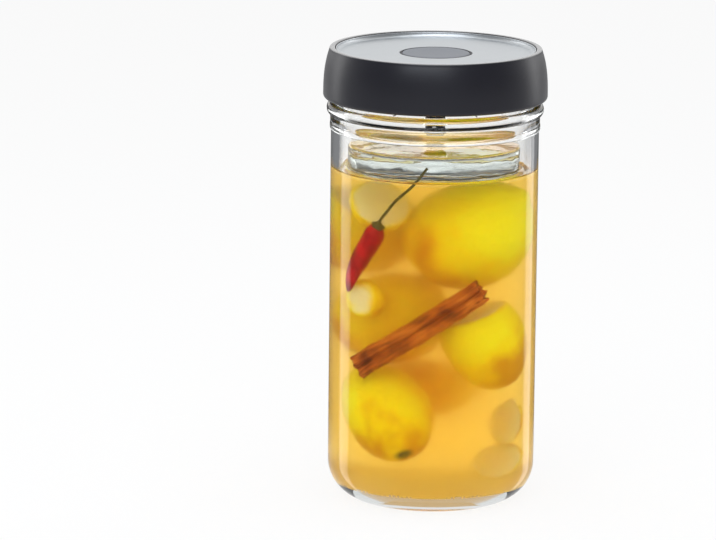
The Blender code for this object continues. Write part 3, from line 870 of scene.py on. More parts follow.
def build_band(context):
    """The screw band: barrelled outside, flanged over the plate, with its lugs in the bore."""
    lid, thread, looks = context.scene.lid_sizes, context.scene.thread_sizes, context.scene.finishes
    low, top = BAND_LOW.z, BAND_HIGH.z
    widest = BAND_HIGH.x
    top_r = widest - lid.barrel
    flange_r = top_r - lid.flange_reach
    under = top - lid.flange
    bevel, fullness, steps = 0.3 * MM, 2.6, 24
    barrel = []
    for i in range(1, steps):
        share = i / steps
        height = (low + lid.edge) + (top - lid.rim - low - lid.edge) * share
        barrel.append((widest - lid.barrel * share**fullness, height))
    outline = [
        (lid.bore + bevel, low),
        *arc(widest - lid.edge, low + lid.edge, lid.edge, -90, 0, 10),
        *barrel,
        *arc(top_r - lid.rim, top - lid.rim, lid.rim, 0, 90, 8),
        *arc(flange_r + lid.rim, top - lid.rim, lid.rim, 90, 180, 8),
        (flange_r, under),
        (lid.bore - bevel, under),
        (lid.bore, under - bevel),
        *upright(lid.bore, under - bevel, low + bevel, 60),
        (lid.bore, low + bevel),
    ]
    fit = lid.fit
    finish = context.scene.jar_sizes.radius - context.scene.jar_sizes.finish_step
    lug_z = JAR_TOP - thread.drop - thread.height * 0.75 - fit
    lug_reach = lid.bore - finish - fit
    inner_lid_flange = 3.0 * MM
    snap_z = under - inner_lid_flange - fit - thread.snap_height / 2
    lowest, highest = low + 1.0 * MM, under - 0.4 * MM

    def shape(r, z, t):
        """Draws the thread lugs and the snap lugs out of the bore."""
        if r > lid.bore + 0.1 * MM or not lowest < z < highest:
            return r, z
        lug = ridge_share(t, z, lug_z, thread.starts, thread.lead, thread.lug_arc, thread.height)
        snap = ridge_share(t, z, snap_z, thread.snaps, 0, thread.snap_arc, thread.snap_height)
        return r - max(lug * lug_reach, snap * thread.snap_reach), z

    made = turned("lid_band", outline, 192, 35, shape)
    polished_from = top - 0.4 * lid.rim
    for face in made.data.polygons:
        if face.center.z > polished_from:
            face.material_index = 1
    black = plastic_material("black moulded polypropylene", looks.band, 0.34, 0.5 * MM)
    rim = plastic_material("polished black polypropylene", looks.band, 0.34, 0.5 * MM, 1.0)
    finished(made, "band", [black, rim], ["screw_band"])


def build_inner_lid(context):
    """The inner lid, the valve cage and the gasket keep their CAD meshes."""
    looks = context.scene.finishes
    black = plastic_material("black polypropylene of the inner lid", looks.band, 0.40, 0.5 * MM)
    refinished("inner_lid", black)
    refinished("valve_cage", black)
    refinished("lid_gasket", silicone_material(looks))


def build_plate(context):
    """The steel plate: flat round the button, and coved up to a lip at its rim."""
    lid, looks = context.scene.lid_sizes, context.scene.finishes
    low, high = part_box("trim_disc")
    edge = 0.25 * MM
    bore, lip, radius = lid.plate_bore, high.x - lid.plate_lip, high.x
    cove = min(lid.plate_cove, high.z - PLATE_TOP)
    outline = [
        (bore, low.z),
        (bore, PLATE_TOP - edge),
        *arc(bore + edge, PLATE_TOP - edge, edge, 180, 90, 5),
        *arc(lip - cove, PLATE_TOP + cove, cove, -90, 0, 16),
        *arc(lip + edge, high.z - edge, edge, 180, 90, 4),
        *arc(radius - edge, high.z - edge, edge, 90, 0, 4),
        (radius, low.z),
    ]
    made = turned("lid_plate", outline, 192, 35)
    steel = steel_material("satin stainless steel", looks.steel, 0.38)
    finished(made, "lid", [steel], ["trim_disc"])


def build_button(looks):
    """The button with its skirt, and underneath the socket that takes the stem."""
    low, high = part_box("valve_button")
    radius, edge, wall = high.x, 0.5 * MM, 1.3 * MM
    thumb_r, thumb_dip = radius * 0.8, 0.25 * MM
    socket_bore, socket_r = 1.8 * MM, 3.3 * MM
    under, skirt = high.z - 2.0 * MM, high.z - 8.7 * MM
    outline = [
        *crown(thumb_r, high.z, -thumb_dip, 8),
        *arc(radius - edge, high.z - edge, edge, 90, 0, 7),
        (radius, skirt),
        (radius - wall, skirt),
        (radius - wall, under),
        (socket_r, under),
        (socket_r, low.z),
        (socket_bore, low.z),
        (socket_bore, under),
        (0, under),
    ]
    made = turned("vent_button", outline, 128, 35)
    grey = plastic_material("grey moulded polypropylene", looks.button, 0.42, 0.4 * MM)
    finished(made, "valve", [grey], ["valve_button"])


def build_spring(looks):
    """A coil of wire between the box's ends."""
    low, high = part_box("valve_spring")
    wire, turns, steps = 0.35 * MM, 5, 40
    count = turns * steps
    coil_r = high.x - wire
    coil = []
    for i in range(count + 1):
        t = 2 * math.pi * i / steps
        z = low.z + wire + (high.z - low.z - 2 * wire) * i / count
        coil.append(Vector((coil_r * math.cos(t), coil_r * math.sin(t), z)))
    spring = swept("vent_spring", coil, lambda share, t: wire)
    steel = steel_material("drawn spring steel", looks.steel, 0.3)
    finished(spring, "lid", [steel], ["valve_spring"])
    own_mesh(spring)


def build_valve(context):
    """The button and its spring, and the stem and the seal, which keep their CAD meshes."""
    looks = context.scene.finishes
    build_button(looks)
    refinished("valve_stem", plastic_material("white acetal", looks.acetal, 0.3, 0.4 * MM))
    refinished("valve_seal", silicone_material(looks))
    build_spring(looks)


# What the jar holds


def build_brine(context):
    """The brine: it fills the jar up to the weight's underside and creeps up beside it."""
    jar, food, looks = context.scene.jar_sizes, context.scene.food_sizes, context.scene.finishes
    weight = context.scene.weight_sizes
    skin, floor_rise = food.into_glass, 0.3 * MM
    bore = jar.radius - jar.wall + skin
    corner = jar.corner - jar.wall
    floor = jar.base - skin + floor_rise
    weight_r, low = WEIGHT_HIGH.x, WEIGHT_LOW.z
    edge_r, rest_r, dish_r = underside_radii(weight)
    wet = low + 2 * skin
    level = low + food.level
    gap = (bore - weight_r) / 2
    middle = weight_r + gap
    open_face = []
    for degrees in range(180, -1, -15):
        a = math.radians(degrees)
        open_face.append((middle + gap * math.cos(a), level + food.meniscus * (1 - math.sin(a))))
    outline = [
        *crown(dish_r, wet + weight.dish, weight.dome, 12),
        (rest_r - weight.dish, wet + 0.5 * weight.dish),
        (rest_r, wet),
        (edge_r, wet),
        (weight_r - 2 * skin, low + weight.edge),
        *open_face,
        *upright(bore, level, jar.base + corner, 30),
        *arc(bore - corner, floor + corner, corner, 0, -90, 20),
        (0, floor),
    ]
    made = turned("brine", outline, 128, 50)
    finished(made, "jar", [brine_material(looks)])


def soft_cuts(verts, facings, seed):
    """Wears a lemon flat at its cuts, with rounded rims, and tells how bare of peel each point is."""
    rim, fade, ragged, ragged_width = 1.5 * MM, 4.5 * MM, 2.0 * MM, 5 * MM
    worn, bare = [], []
    for v in verts:
        point, share = Vector(v), 0.0
        for facing, distance in facings:
            beyond = point.dot(facing) - distance + rim
            if beyond > 0:
                point -= facing * (beyond - rim * (1 - math.exp(-beyond / rim)))
                torn = ragged * noise.noise(Vector(v) / ragged_width + Vector((seed, 0, 0)))
                share = max(share, clamped((beyond + torn - 0.6 * rim) / fade))
        worn.append(point)
        bare.append(eased(share))
    return worn, bare


def open_cuts(mesh, facings):
    """Cuts a lemon through, and closes each cut with a flat face for its flesh."""
    bm = bmesh.new()
    bm.from_mesh(mesh)
    for facing, distance in facings:
        found = bmesh.ops.bisect_plane(
            bm,
            geom=[*bm.verts, *bm.edges, *bm.faces],
            plane_co=facing * distance,
            plane_no=facing,
            clear_outer=True,
        )
        rim = [e for e in found["geom_cut"] if isinstance(e, bmesh.types.BMEdge)]
        for face in bmesh.ops.contextual_create(bm, geom=rim)["faces"]:
            face.material_index = 1
            face.smooth = False
    bm.to_mesh(mesh)
    bm.free()


def lemon(name, centre, axis, half_length, half_width, seed, spin=0, cuts=(), fleshy=True):
    """A lemon with its tip along the axis and its stem scar at the other end, or what its cuts leave of it.

    Lengths are in millimetres and the spin is in degrees. A cut is a plane as (normal, distance from the
    centre). What lies beyond it goes. A cut that shows no flesh is worn soft.
    """
    rows, sides = 64, 96
    tip_width, heel_width, tip_stand, heel_stand = 0.24, 0.16, 0.13, 0.03
    roundness, body_share = 0.92, 0.9
    swelling, swell_lobes, lump_height, lump_lobes = 0.035, 1.3, 0.35 * MM, 9
    scar_dip, tip_round = 0.4 * MM, 0.2 * MM
    half_length, half_width = half_length * MM, half_width * MM
    verts, faces = [(0, 0, -half_length)], []
    for i in range(1, rows):
        a = math.pi * (i / rows - 0.5)
        tip = math.exp(-(((math.pi / 2 - a) / tip_width) ** 2))
        heel = math.exp(-(((math.pi / 2 + a) / heel_width) ** 2))
        ends = tip_stand * tip + heel_stand * heel
        z = half_length * body_share * math.sin(a) + half_length * ends
        for k in range(sides):
            t = 2 * math.pi * k / sides
            way = Vector((math.cos(a) * math.cos(t), math.cos(a) * math.sin(t), math.sin(a)))
            swell = 1 + swelling * noise.noise(way * swell_lobes + Vector((seed, 0, 0)))
            lump = lump_height * noise.noise(way * lump_lobes + Vector((0, seed, 0)))
            r = half_width * swell * math.cos(a) ** roundness + lump
            verts.append((r * math.cos(t), r * math.sin(t), z))
    verts[0] = (0, 0, verts[1][2] + scar_dip)
    verts.append((0, 0, verts[-1][2] - tip_round))
    last = 1 + (rows - 2) * sides
    for k in range(sides):
        n = (k + 1) % sides
        faces.append((0, 1 + n, 1 + k))
        for i in range(rows - 2):
            a, b = 1 + i * sides + k, 1 + i * sides + n
            faces.append((a, b, b + sides, a + sides))
        faces.append((last + k, last + n, len(verts) - 1))
    made = mesh_object(name, verts, faces, 60)
    placed(made, Vector(centre) * MM, axis, math.radians(spin))
    into_lemon = made.matrix_world.to_3x3().inverted()
    facings = [((into_lemon @ Vector(normal)).normalized(), distance * MM) for normal, distance in cuts]
    if fleshy:
        open_cuts(made.data, facings)
    else:
        worn, bare = soft_cuts(verts, facings, seed)
        made.data.vertices.foreach_set("co", [c for v in worn for c in v])
        made.data.attributes.new(BARE, "FLOAT", "POINT").data.foreach_set("value", bare)
    heel_point = Vector(verts[0])
    own_place = made.data.attributes.new(OWN_PLACE, "FLOAT_VECTOR", "POINT")
    own_place.data.foreach_set("vector", [c for v in made.data.vertices for c in v.co - heel_point])
    made.data.transform(made.matrix_world)
    made.matrix_world = Matrix()
    return made


WHOLE_LEMONS = [
    # name, centre, axis, half length, half width, seed and spin, in millimetres and degrees
    ("lemon_top", (15, -9.5, 136), (0.78, -0.05, 0.62), 31, 25.5, 3, 40),
    ("lemon_middle", (-14.5, 5.5, 91), (0.6, 0.1, 0.79), 25.5, 20.5, 17, 0),
    ("lemon_low", (-18.7, -16.5, 47), (-0.25, 0.65, 0.7), 28.5, 19, 23, 10),
    ("lemon_deep", (-2, 18, 54), (1.0, 0.2, 0.1), 18, 14, 29, 0),
]

CUT_LEMONS = [
    # name, centre, axis, half length, half width, seed, whether flesh shows, and cuts as (normal, distance)
    ("lemon_back", (-22, 17, 134), (0.1, -0.45, 0.88), 27, 17.5, 11, True, [((0.1, -0.45, 0.88), 15)]),
    ("lemon_slice", (-22.5, -14, 150), (0.1, -0.75, 0.65), 12, 13.5, 53, False,
     [((0.1, -0.75, 0.65), 2.5), ((-0.1, 0.75, -0.65), 3)]),
    ("lemon_cut", (22, -15.2, 83.5), (-0.38, -0.06, 0.92), 28, 18, 31, False,
     [((-0.3, -0.15, 0.94), 15.5)]),
    ("lemon_end", (-29.2, -18.9, 104.2), (-0.62, -0.775, 0.1), 10, 9.5, 37, False,
     [((-0.62, -0.775, 0.1), 5)]),
    ("wedge_upper", (30, -10, 41), (0.15, 0.1, 0.98), 12, 8, 41, False, [((-0.35, -0.93, 0.1), -1)]),
    ("wedge_lower", (27, -10, 22.5), (0.75, 0.3, 0.1), 12, 8.5, 43, False, [((-0.1, -0.9, 0.4), -1)]),
]


def build_lemons(context):
    """All the lemons, whole and cut, from the tables above."""
    food, looks = context.scene.food_sizes, context.scene.finishes
    peel, flesh = peel_material(looks, food), flesh_material(looks, food)
    for name, centre, axis, half_length, half_width, seed, spin in WHOLE_LEMONS:
        made = lemon(name, centre, axis, half_length, half_width, seed, spin=spin)
        finished(made, "jar", [peel])
    for name, centre, axis, half_length, half_width, seed, fleshy, cuts in CUT_LEMONS:
        made = lemon(name, centre, axis, half_length, half_width, seed, cuts=cuts, fleshy=fleshy)
        finished(made, "jar", [peel, flesh] if fleshy else [peel])


CHILLI_PATH = [
    # from the shoulder down to the tip, in millimetres
    (-25.3, -30.6, 143.6), (-27.0, -29.0, 138.3), (-29.9, -26.8, 131.7), (-32.6, -23.7, 125.0),
    (-35.7, -22.8, 118.5), (-37.7, -22.2, 112.7), (-39.0, -21.8, 107.4),
]
STEM_PATH = [
    # from the chilli's shoulder up, in millimetres
    (-25.4, -31.0, 142.6), (-24.6, -33.2, 146.0), (-22.2, -36.4, 150.3), (-17.9, -39.2, 156.7),
    (-10.6, -42.6, 164.4), (-4.0, -44.2, 173.4),
]


def build_chilli(context):
    """The chilli and its stem, each swept along its own path."""
    food, looks = context.scene.food_sizes, context.scene.finishes
    shoulder_share, taper_start, tip_r = 0.16, 0.2, 0.02 * MM
    fold_depth, calyx_share, calyx_flare, rib_depth = 0.05, 0.16, 4.0, 0.08

    def body(share, t):
        """The fruit's radius: a quick shoulder, a long taper and three soft folds."""
        shoulder = min(1.0, share / shoulder_share) ** 0.4
        taper = (1 - (max(0.0, share - taper_start) / (1 - taper_start)) ** 2.2) ** 0.6
        fold = 1 + fold_depth * math.sin(3 * t + 6 * share)
        return food.chilli_radius * shoulder * taper * fold + tip_r

    def stalk(share, t):
        """The stem's radius: five ribs, and a calyx that flares over the shoulder."""
        foot = max(0.0, 1 - share / calyx_share)
        return food.stem_radius * (1 + calyx_flare * foot**1.4) * (1 + rib_depth * math.sin(5 * t))

    for name, points, section, material in (
        ("chilli", CHILLI_PATH, body, chilli_material(looks)),
        ("chilli_stem", STEM_PATH, stalk, stem_material(looks)),
    ):
        path = smooth_path([Vector(point) * MM for point in points], 10)
        finished(swept(name, path, section), "jar", [material])


CINNAMON_ENDS = [(-34.1, -24.6, 70.3), (21.8, -36.2, 112.0)]


def build_cinnamon(context):
    """The cinnamon stick: one strip of bark that rolls in from both sides, with chipped ends."""
    food, looks = context.scene.food_sizes, context.scene.finishes
    start, end = Vector(CINNAMON_ENDS[0]) * MM, Vector(CINNAMON_ENDS[1]) * MM
    length = (end - start).length
    steps_round, steps_along = 56, 40
    rolled_degrees, drawn_in, seam = 560, 0.62, 0.98
    warp_depth, warp_width, dent_depth, dent_width = 0.6 * MM, 7 * MM, 0.3 * MM, 5 * MM
    chip_depth, chip_width = 2.4 * MM, 2.5 * MM

    def spiral(side):
        """The middle line of one roll, from the seam in to its centre."""
        line = []
        for i in range(steps_round + 1):
            share = i / steps_round
            angle = math.radians(rolled_degrees * share)
            r = food.quill * (1 - drawn_in * share)
            line.append((side * (food.quill * seam - r * math.sin(angle)), r * math.cos(angle)))
        return line

    middle = [*reversed(spiral(-1)), *spiral(1)[1:]]
    verts, faces = [], []
    for k in range(steps_along + 1):
        z = length * (k / steps_along - 0.5)
        for i, (x, y) in enumerate(middle):
            before, after = middle[max(i - 1, 0)], middle[min(i + 1, len(middle) - 1)]
            nx, ny = after[1] - before[1], before[0] - after[0]
            scale = math.hypot(nx, ny) or 1.0
            wobble = warp_depth * noise.noise(Vector((x, y, z)) / warp_width)
            wobble += dent_depth * noise.noise(Vector((4 * x, 4 * y, z)) / dent_width)
            at_end = k in (0, steps_along)
            chip = chip_depth * noise.noise(Vector((x, y, 0)) / chip_width) if at_end else 0
            for way in (-0.5, 0.5):
                off = way * food.bark + wobble
                verts.append((x + nx / scale * off, y + ny / scale * off, z + chip))
    row = 2 * len(middle)
    for k in range(steps_along):
        for i in range(len(middle) - 1):
            a = k * row + 2 * i
            faces.append((a, a + 2, a + 2 + row, a + row))
            faces.append((a + 1, a + 1 + row, a + 3 + row, a + 3))
        for a in (k * row, k * row + row - 2):
            faces.append((a, a + row, a + row + 1, a + 1))
    for k in (0, steps_along):
        for i in range(len(middle) - 1):
            a = k * row + 2 * i
            faces.append((a, a + 1, a + 3, a + 2))
    made = mesh_object("cinnamon_stick", verts, faces, 50)
    placed(made, (start + end) / 2, end - start, math.radians(-90))
    finished(made, "jar", [bark_material(looks)])


# The stage


def sight(tree, ends_here):
    """How a ray came: seen straight or through glass, turned back inside glass, mirrored, or scattered.

    Brine scatters without a bounce of its own kind, so the ray depth tells. ends_here is the depth that
    is left over where nothing scattered, 0 on a surface and 1 in the world.
    """
    path = add(tree, "ShaderNodeLightPath").outputs
    through = path["Is Transmission Ray"]
    depth = path["Ray Depth"]
    for kind in ("Diffuse Depth", "Glossy Depth", "Transmission Depth"):
        depth = add(tree, "ShaderNodeMath", {0: depth, 1: path[kind]}, operation="SUBTRACT")
    in_haze = add(tree, "ShaderNodeMath", {0: depth, 1: ends_here + 0.5}, operation="GREATER_THAN")
    scattered = add(tree, "ShaderNodeMath", {0: through, 1: in_haze}, operation="MULTIPLY")
    direct = add(tree, "ShaderNodeMath", {0: through, 1: scattered}, operation="SUBTRACT")
    turned_back = add(tree, "ShaderNodeMath", {0: path["Glossy Depth"], 1: 0.5}, operation="GREATER_THAN")
    inside = add(tree, "ShaderNodeMath", {0: direct, 1: turned_back}, operation="MULTIPLY")
    clear = add(tree, "ShaderNodeMath", {0: direct, 1: inside}, operation="SUBTRACT")
    seen = add(tree, "ShaderNodeMath", {0: path["Is Camera Ray"], 1: clear}, operation="MAXIMUM")
    glossy = add(tree, "ShaderNodeMath", {0: path["Is Glossy Ray"], 1: through}, operation="SUBTRACT")
    mirrored = add(tree, "ShaderNodeMath", {0: glossy, 1: 0.5}, operation="GREATER_THAN")
    return seen, inside, mirrored, scattered


# Painted reflections: glows on the table, seen only by light that glass mirrors sharply, that stand for tall
# white cards beside the jar
CARD_GLOWS = [
    # side, -1 at the left and 1 at the right, degrees round from the front, and strength
    (-1, 116, 2.2),
    (1, 134, 1.5),
]


def card(tree, where, side, azimuth, strength):
    """How brightly the table glows to light that the glass mirrors towards it, where it stands for a tall
    white card beside the jar: a painted reflection.
    """
    middle = math.radians(azimuth)
    way = Vector((side * math.sin(middle), -math.cos(middle), 0))
    glass_r, card_rim, card_face = 51 * MM, 0.978, 0.992
    start = glass_r * Vector((side * math.sin(middle / 2), -math.cos(middle / 2), 0))
    off = add(tree, "ShaderNodeVectorMath", {0: where, 1: start}, operation="SUBTRACT")
    off = add(tree, "ShaderNodeVectorMath", {0: off}, operation="NORMALIZE")
    near = add(tree, "ShaderNodeVectorMath", {0: off, 1: way}, operation="DOT_PRODUCT")
    return add(
        tree,
        "ShaderNodeMapRange",
        {"Value": near, "From Min": card_rim, "From Max": card_face, "To Max": strength},
    )


def floor_material(finishes):
    """A pale matt table and backdrop in one: white to the eye, with the jar's soft shadow on it.

    Light that turns back inside the glass, and some of what the lid mirrors, finds a glow painted on it,
    warm near the jar and dim further out. Where glass mirrors it sharply, it glows in two tall patches that
    stand for white cards beside the jar, and more brightly near the jar: painted reflections. Light that the
    brine has scattered finds it as bright as the white behind the jar.
    """
    fibre_width, white_share, mirror_share = 4 * MM, 0.84, 0.4
    warm_r, dim_r = 110 * MM, 350 * MM
    bright_r, dull_r, bright, dull = 60 * MM, 200 * MM, 0.8, 0.15
    white = (1, 1, 1, 1)
    made, tree = new_material("pale paper")
    where = add(tree, "ShaderNodeTexCoord").outputs["Object"]
    fibre = add(tree, "ShaderNodeTexNoise", {"Vector": where, "Scale": 1 / fibre_width, "Detail": 2.0})
    shades = [(0.3, dimmed(finishes.floor, 0.98)), (0.7, finishes.floor)]
    tone = add(tree, "ShaderNodeValToRGB", {"Fac": fibre}, shades)
    matt = add(tree, "ShaderNodeBsdfDiffuse", {"Color": tone})
    reach = add(tree, "ShaderNodeVectorMath", {0: where}, operation="LENGTH")
    # Painted glow for light that turns back inside the glass: warm near the jar, dim further out
    far = add(tree, "ShaderNodeMapRange", {"Value": reach, "From Min": warm_r, "From Max": dim_r})
    dim_shades = [(0.0, finishes.floor_glow_near), (1.0, finishes.floor_glow_far)]
    dim_tone = add(tree, "ShaderNodeValToRGB", {"Fac": far}, dim_shades)
    dim = add(tree, "ShaderNodeEmission", {"Color": dim_tone, "Strength": 1.0})
    # Painted light: to light that glass mirrors sharply, the table glows brighter near the jar
    near = add(
        tree,
        "ShaderNodeMapRange",
        {"Value": reach, "From Min": bright_r, "From Max": dull_r, "To Min": bright, "To Max": dull},
    )
    # Painted reflections of two white cards beside the jar, glowing on the table
    left, right = [card(tree, where, *each) for each in CARD_GLOWS]
    cards = add(tree, "ShaderNodeMath", {0: left, 1: right}, operation="ADD")
    level = add(tree, "ShaderNodeMath", {0: cards, 1: near}, operation="ADD")
    mirror = add(tree, "ShaderNodeEmission", {"Color": white, "Strength": level})
    plain = add(tree, "ShaderNodeEmission", {"Color": white, "Strength": 1.0})
    glow = add(tree, "ShaderNodeEmission", {"Color": white, "Strength": BACKLIGHT})
    seen, inside, mirrored, scattered = sight(tree, 0)
    singular = add(tree, "ShaderNodeLightPath").outputs["Is Singular Ray"]
    sharp = add(tree, "ShaderNodeMath", {0: mirrored, 1: singular}, operation="MULTIPLY")
    some = add(tree, "ShaderNodeMath", {0: mirrored, 1: mirror_share}, operation="MULTIPLY")
    dark = add(tree, "ShaderNodeMath", {0: inside, 1: some}, operation="MAXIMUM")
    share = add(tree, "ShaderNodeMath", {0: seen, 1: white_share}, operation="MULTIPLY")
    table = add(tree, "ShaderNodeMixShader", {0: dark, 1: matt, 2: dim})
    table = add(tree, "ShaderNodeMixShader", {0: sharp, 1: table, 2: mirror})
    table = add(tree, "ShaderNodeMixShader", {0: share, 1: table, 2: plain})
    table = add(tree, "ShaderNodeMixShader", {0: scattered, 1: table, 2: glow})
    add(tree, "ShaderNodeOutputMaterial", {"Surface": table})
    return made


def build_world(scene):
    """White behind what the eye sees straight or through glass, and a studio for what mirrors it.

    The studio is bright behind the jar and dim in front. Light that turns back inside the glass finds it
    brightest low over the table, dark above that and light again towards the ceiling.
    """
    world = bpy.data.worlds.new("studio")
    world.use_nodes = True
    tree = world.node_tree
    tree.nodes.clear()
    generated = add(tree, "ShaderNodeTexCoord").outputs["Generated"]
    way = add(tree, "ShaderNodeSeparateXYZ", {0: generated}).outputs
    mirror_level = add(
        tree,
        "ShaderNodeMapRange",
        {"Value": way["Y"], "From Min": -0.35, "From Max": 0.75, "To Min": 0.25, "To Max": 1.0},
        interpolation_type="SMOOTHSTEP",
    )
    low_glow = add(
        tree,
        "ShaderNodeMapRange",
        {"Value": way["Z"], "From Min": 0.18, "From Max": 0.213, "To Min": 1.7, "To Max": 0.28},
    )
    ceiling = add(
        tree, "ShaderNodeMapRange", {"Value": way["Z"], "From Min": 0.26, "From Max": 0.36, "To Max": 0.85}
    )
    height = add(tree, "ShaderNodeMath", {0: low_glow, 1: ceiling}, operation="MAXIMUM")
    inside_level = add(tree, "ShaderNodeMath", {0: mirror_level, 1: height}, operation="MULTIPLY")
    seen, inside, mirrored, scattered = sight(tree, 1)
    level = 0.75
    shown = [(mirrored, mirror_level), (inside, inside_level), (seen, 1.0), (scattered, BACKLIGHT)]
    for share, brightness in shown:
        level = add(tree, "ShaderNodeMix", {"Factor": share, "A": level, "B": brightness})
    studio = add(tree, "ShaderNodeBackground", {"Color": (1, 1, 1, 1), "Strength": level})
    add(tree, "ShaderNodeOutputWorld", {"Surface": studio})
    scene.world = world


def add_light(name, place, aim, width, height, watts, colour=(1, 1, 1)):
    """A soft box that only its light and its reflections show."""
    lamp = bpy.data.lights.new(name, "AREA")
    lamp.shape = "RECTANGLE"
    lamp.size, lamp.size_y, lamp.energy, lamp.color = width, height, watts, colour
    obj = bpy.data.objects.new(name, lamp)
    bpy.context.scene.collection.objects.link(obj)
    obj.location = place
    obj.rotation_euler = (Vector(aim) - Vector(place)).to_track_quat("-Z", "Y").to_euler()
    obj.visible_camera = False


def build_lights():
    """Two tall strips beside and behind the jar, and large cool boxes over it and in front of it."""
    middle = Vector((0, 0, 0.12))
    strip_turn, strip_rise, strip_distance = math.radians(120), 0.12, 1.1
    for name, side in (("left strip", -1), ("right strip", 1)):
        way = Vector((side * math.sin(strip_turn), -math.cos(strip_turn), strip_rise))
        add_light(name, middle + way * strip_distance, middle, width=0.26, height=1.3, watts=1.9)
    cool, cooler = (0.93, 0.96, 1.0), (0.88, 0.93, 1.0)
    add_light("top box", (0.0, -0.25, 1.3), middle, width=0.9, height=0.9, watts=6, colour=cool)
    add_light("front fill", (-0.4, -2.0, 1.6), middle, width=2.2, height=1.1, watts=22, colour=cooler)


def build_camera(scene, studio):
    """The camera in front of the jar, a little above it and far enough off for a nearly flat view."""
    aim = Vector((-studio.aim_left, 0, studio.aim_height))
    back = Vector((0, -math.cos(studio.elevation), math.sin(studio.elevation)))
    data = bpy.data.cameras.new("camera")
    data.sensor_width = 36.0
    data.lens = data.sensor_width * studio.distance / studio.picture_width
    data.clip_start, data.clip_end = 0.05, 60
    camera = bpy.data.objects.new("camera", data)
    scene.collection.objects.link(camera)
    camera.rotation_mode = "QUATERNION"
    look = (-back).to_track_quat("-Z", "Y")
    camera.rotation_quaternion = look @ Matrix.Rotation(studio.roll, 3, "Z").to_quaternion()
    camera.location = aim + back * studio.distance
    scene.camera = camera


def build_stage(context):
    """The table, the studio, its lamps and the camera, and how light travels among them."""
    scene = context.scene
    reach = 12.0
    corners = [(-reach, -reach, 0), (reach, -reach, 0), (reach, reach, 0), (-reach, reach, 0)]
    floor = mesh_object("floor", corners, [(0, 1, 2, 3)])
    floor.data.materials.append(floor_material(scene.finishes))
    build_world(scene)
    build_lights()
    build_camera(scene, scene.studio)

    scene.view_settings.view_transform = "Standard"
    cycles = scene.cycles
    cycles.caustics_reflective = False
    cycles.caustics_refractive = False
    cycles.max_bounces = 32
    cycles.transmission_bounces = 20
    cycles.glossy_bounces = 8
    cycles.transparent_max_bounces = 24
    cycles.volume_bounces = 12


# Operators, panel and registration


class FJAR_OT_jar(bpy.types.Operator):
    """Blow the glass jar"""

    bl_idname = "fjar.jar"
    bl_label = "Jar"
    bl_options = {"REGISTER", "UNDO"}

    def execute(self, context):
        build_jar(context)
        return {"FINISHED"}


class FJAR_OT_weight(bpy.types.Operator):
    """Press the glass weight"""

    bl_idname = "fjar.weight"
    bl_label = "Weight"
    bl_options = {"REGISTER", "UNDO"}

    def execute(self, context):
        build_weight(context)
        return {"FINISHED"}


class FJAR_OT_band(bpy.types.Operator):
    """Mould the screw band"""

    bl_idname = "fjar.band"
    bl_label = "Screw Band"
    bl_options = {"REGISTER", "UNDO"}

    def execute(self, context):
        build_band(context)
        return {"FINISHED"}


class FJAR_OT_inner_lid(bpy.types.Operator):
    """Finish the inner lid, its gasket and the valve cage"""

    bl_idname = "fjar.inner_lid"
    bl_label = "Inner Lid"
    bl_options = {"REGISTER", "UNDO"}

    def execute(self, context):
        build_inner_lid(context)
        return {"FINISHED"}


class FJAR_OT_plate(bpy.types.Operator):
    """Spin the steel plate"""

    bl_idname = "fjar.plate"
    bl_label = "Plate"
    bl_options = {"REGISTER", "UNDO"}

    def execute(self, context):
        build_plate(context)
        return {"FINISHED"}


class FJAR_OT_valve(bpy.types.Operator):
    """Make the vent button, its spring, stem and seal"""

    bl_idname = "fjar.valve"
    bl_label = "Vent Valve"
    bl_options = {"REGISTER", "UNDO"}

    def execute(self, context):
        build_valve(context)
        return {"FINISHED"}


class FJAR_OT_brine(bpy.types.Operator):
    """Pour the brine"""

    bl_idname = "fjar.brine"
    bl_label = "Brine"
    bl_options = {"REGISTER", "UNDO"}

    def execute(self, context):
        build_brine(context)
        return {"FINISHED"}


class FJAR_OT_lemons(bpy.types.Operator):
    """Lay the lemons in"""

    bl_idname = "fjar.lemons"
    bl_label = "Lemons"
    bl_options = {"REGISTER", "UNDO"}

    def execute(self, context):
        build_lemons(context)
        return {"FINISHED"}


class FJAR_OT_chilli(bpy.types.Operator):
    """Add the chilli"""

    bl_idname = "fjar.chilli"
    bl_label = "Chilli"
    bl_options = {"REGISTER", "UNDO"}

    def execute(self, context):
        build_chilli(context)
        return {"FINISHED"}


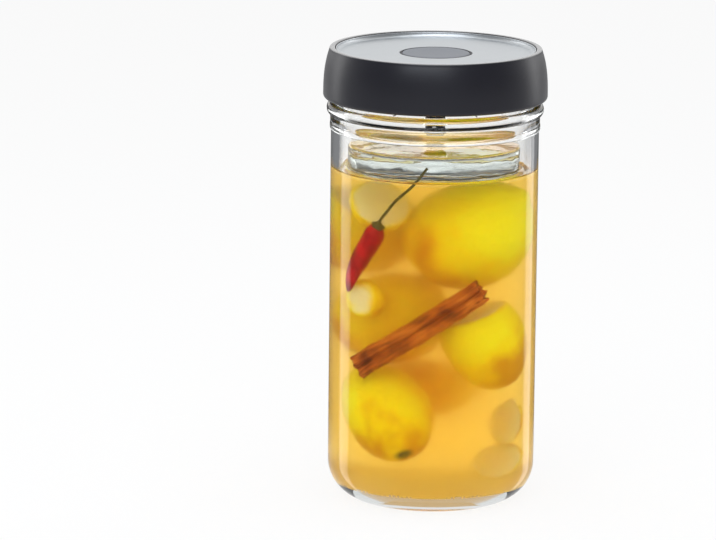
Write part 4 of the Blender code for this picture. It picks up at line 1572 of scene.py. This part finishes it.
class FJAR_OT_cinnamon(bpy.types.Operator):
    """Add the cinnamon stick"""

    bl_idname = "fjar.cinnamon"
    bl_label = "Cinnamon"
    bl_options = {"REGISTER", "UNDO"}

    def execute(self, context):
        build_cinnamon(context)
        return {"FINISHED"}


class FJAR_OT_stage(bpy.types.Operator):
    """Set the floor, the lights and the camera"""

    bl_idname = "fjar.stage"
    bl_label = "Stage"
    bl_options = {"REGISTER", "UNDO"}

    def execute(self, context):
        build_stage(context)
        return {"FINISHED"}


OPERATORS = (
    FJAR_OT_jar,
    FJAR_OT_weight,
    FJAR_OT_band,
    FJAR_OT_inner_lid,
    FJAR_OT_plate,
    FJAR_OT_valve,
    FJAR_OT_brine,
    FJAR_OT_lemons,
    FJAR_OT_chilli,
    FJAR_OT_cinnamon,
    FJAR_OT_stage,
)

GROUPS = {
    "jar_sizes": JarSizes,
    "thread_sizes": ThreadSizes,
    "lid_sizes": LidSizes,
    "weight_sizes": WeightSizes,
    "food_sizes": FoodSizes,
    "finishes": Finishes,
    "studio": Studio,
}


class FJAR_PT_panel(bpy.types.Panel):
    """Lists the jar's operators and sizes"""

    bl_label = "Fermentation Jar"
    bl_idname = "FJAR_PT_panel"
    bl_space_type = "VIEW_3D"
    bl_region_type = "UI"
    bl_category = "Jar"

    def draw(self, context):
        for operator in OPERATORS:
            self.layout.operator(operator.bl_idname)
        for name, group in GROUPS.items():
            box = self.layout.box()
            box.label(text=group.__doc__)
            for key in group.__annotations__:
                box.prop(getattr(context.scene, name), key)


def register():
    """Adds the classes, and one property group for each part of the jar to the scene."""
    for each in (*GROUPS.values(), *OPERATORS, FJAR_PT_panel):
        bpy.utils.register_class(each)
    for name, group in GROUPS.items():
        setattr(bpy.types.Scene, name, PointerProperty(type=group))


def unregister():
    """Takes away what register added."""
    for name in GROUPS:
        delattr(bpy.types.Scene, name)
    for each in reversed((*GROUPS.values(), *OPERATORS, FJAR_PT_panel)):
        bpy.utils.unregister_class(each)


def main():
    """Registers the classes, and builds every piece and the stage in order."""
    register()
    for operator in OPERATORS:
        family, name = operator.bl_idname.split(".")
        getattr(getattr(bpy.ops, family), name)()


if __name__ == "__main__":
    main()
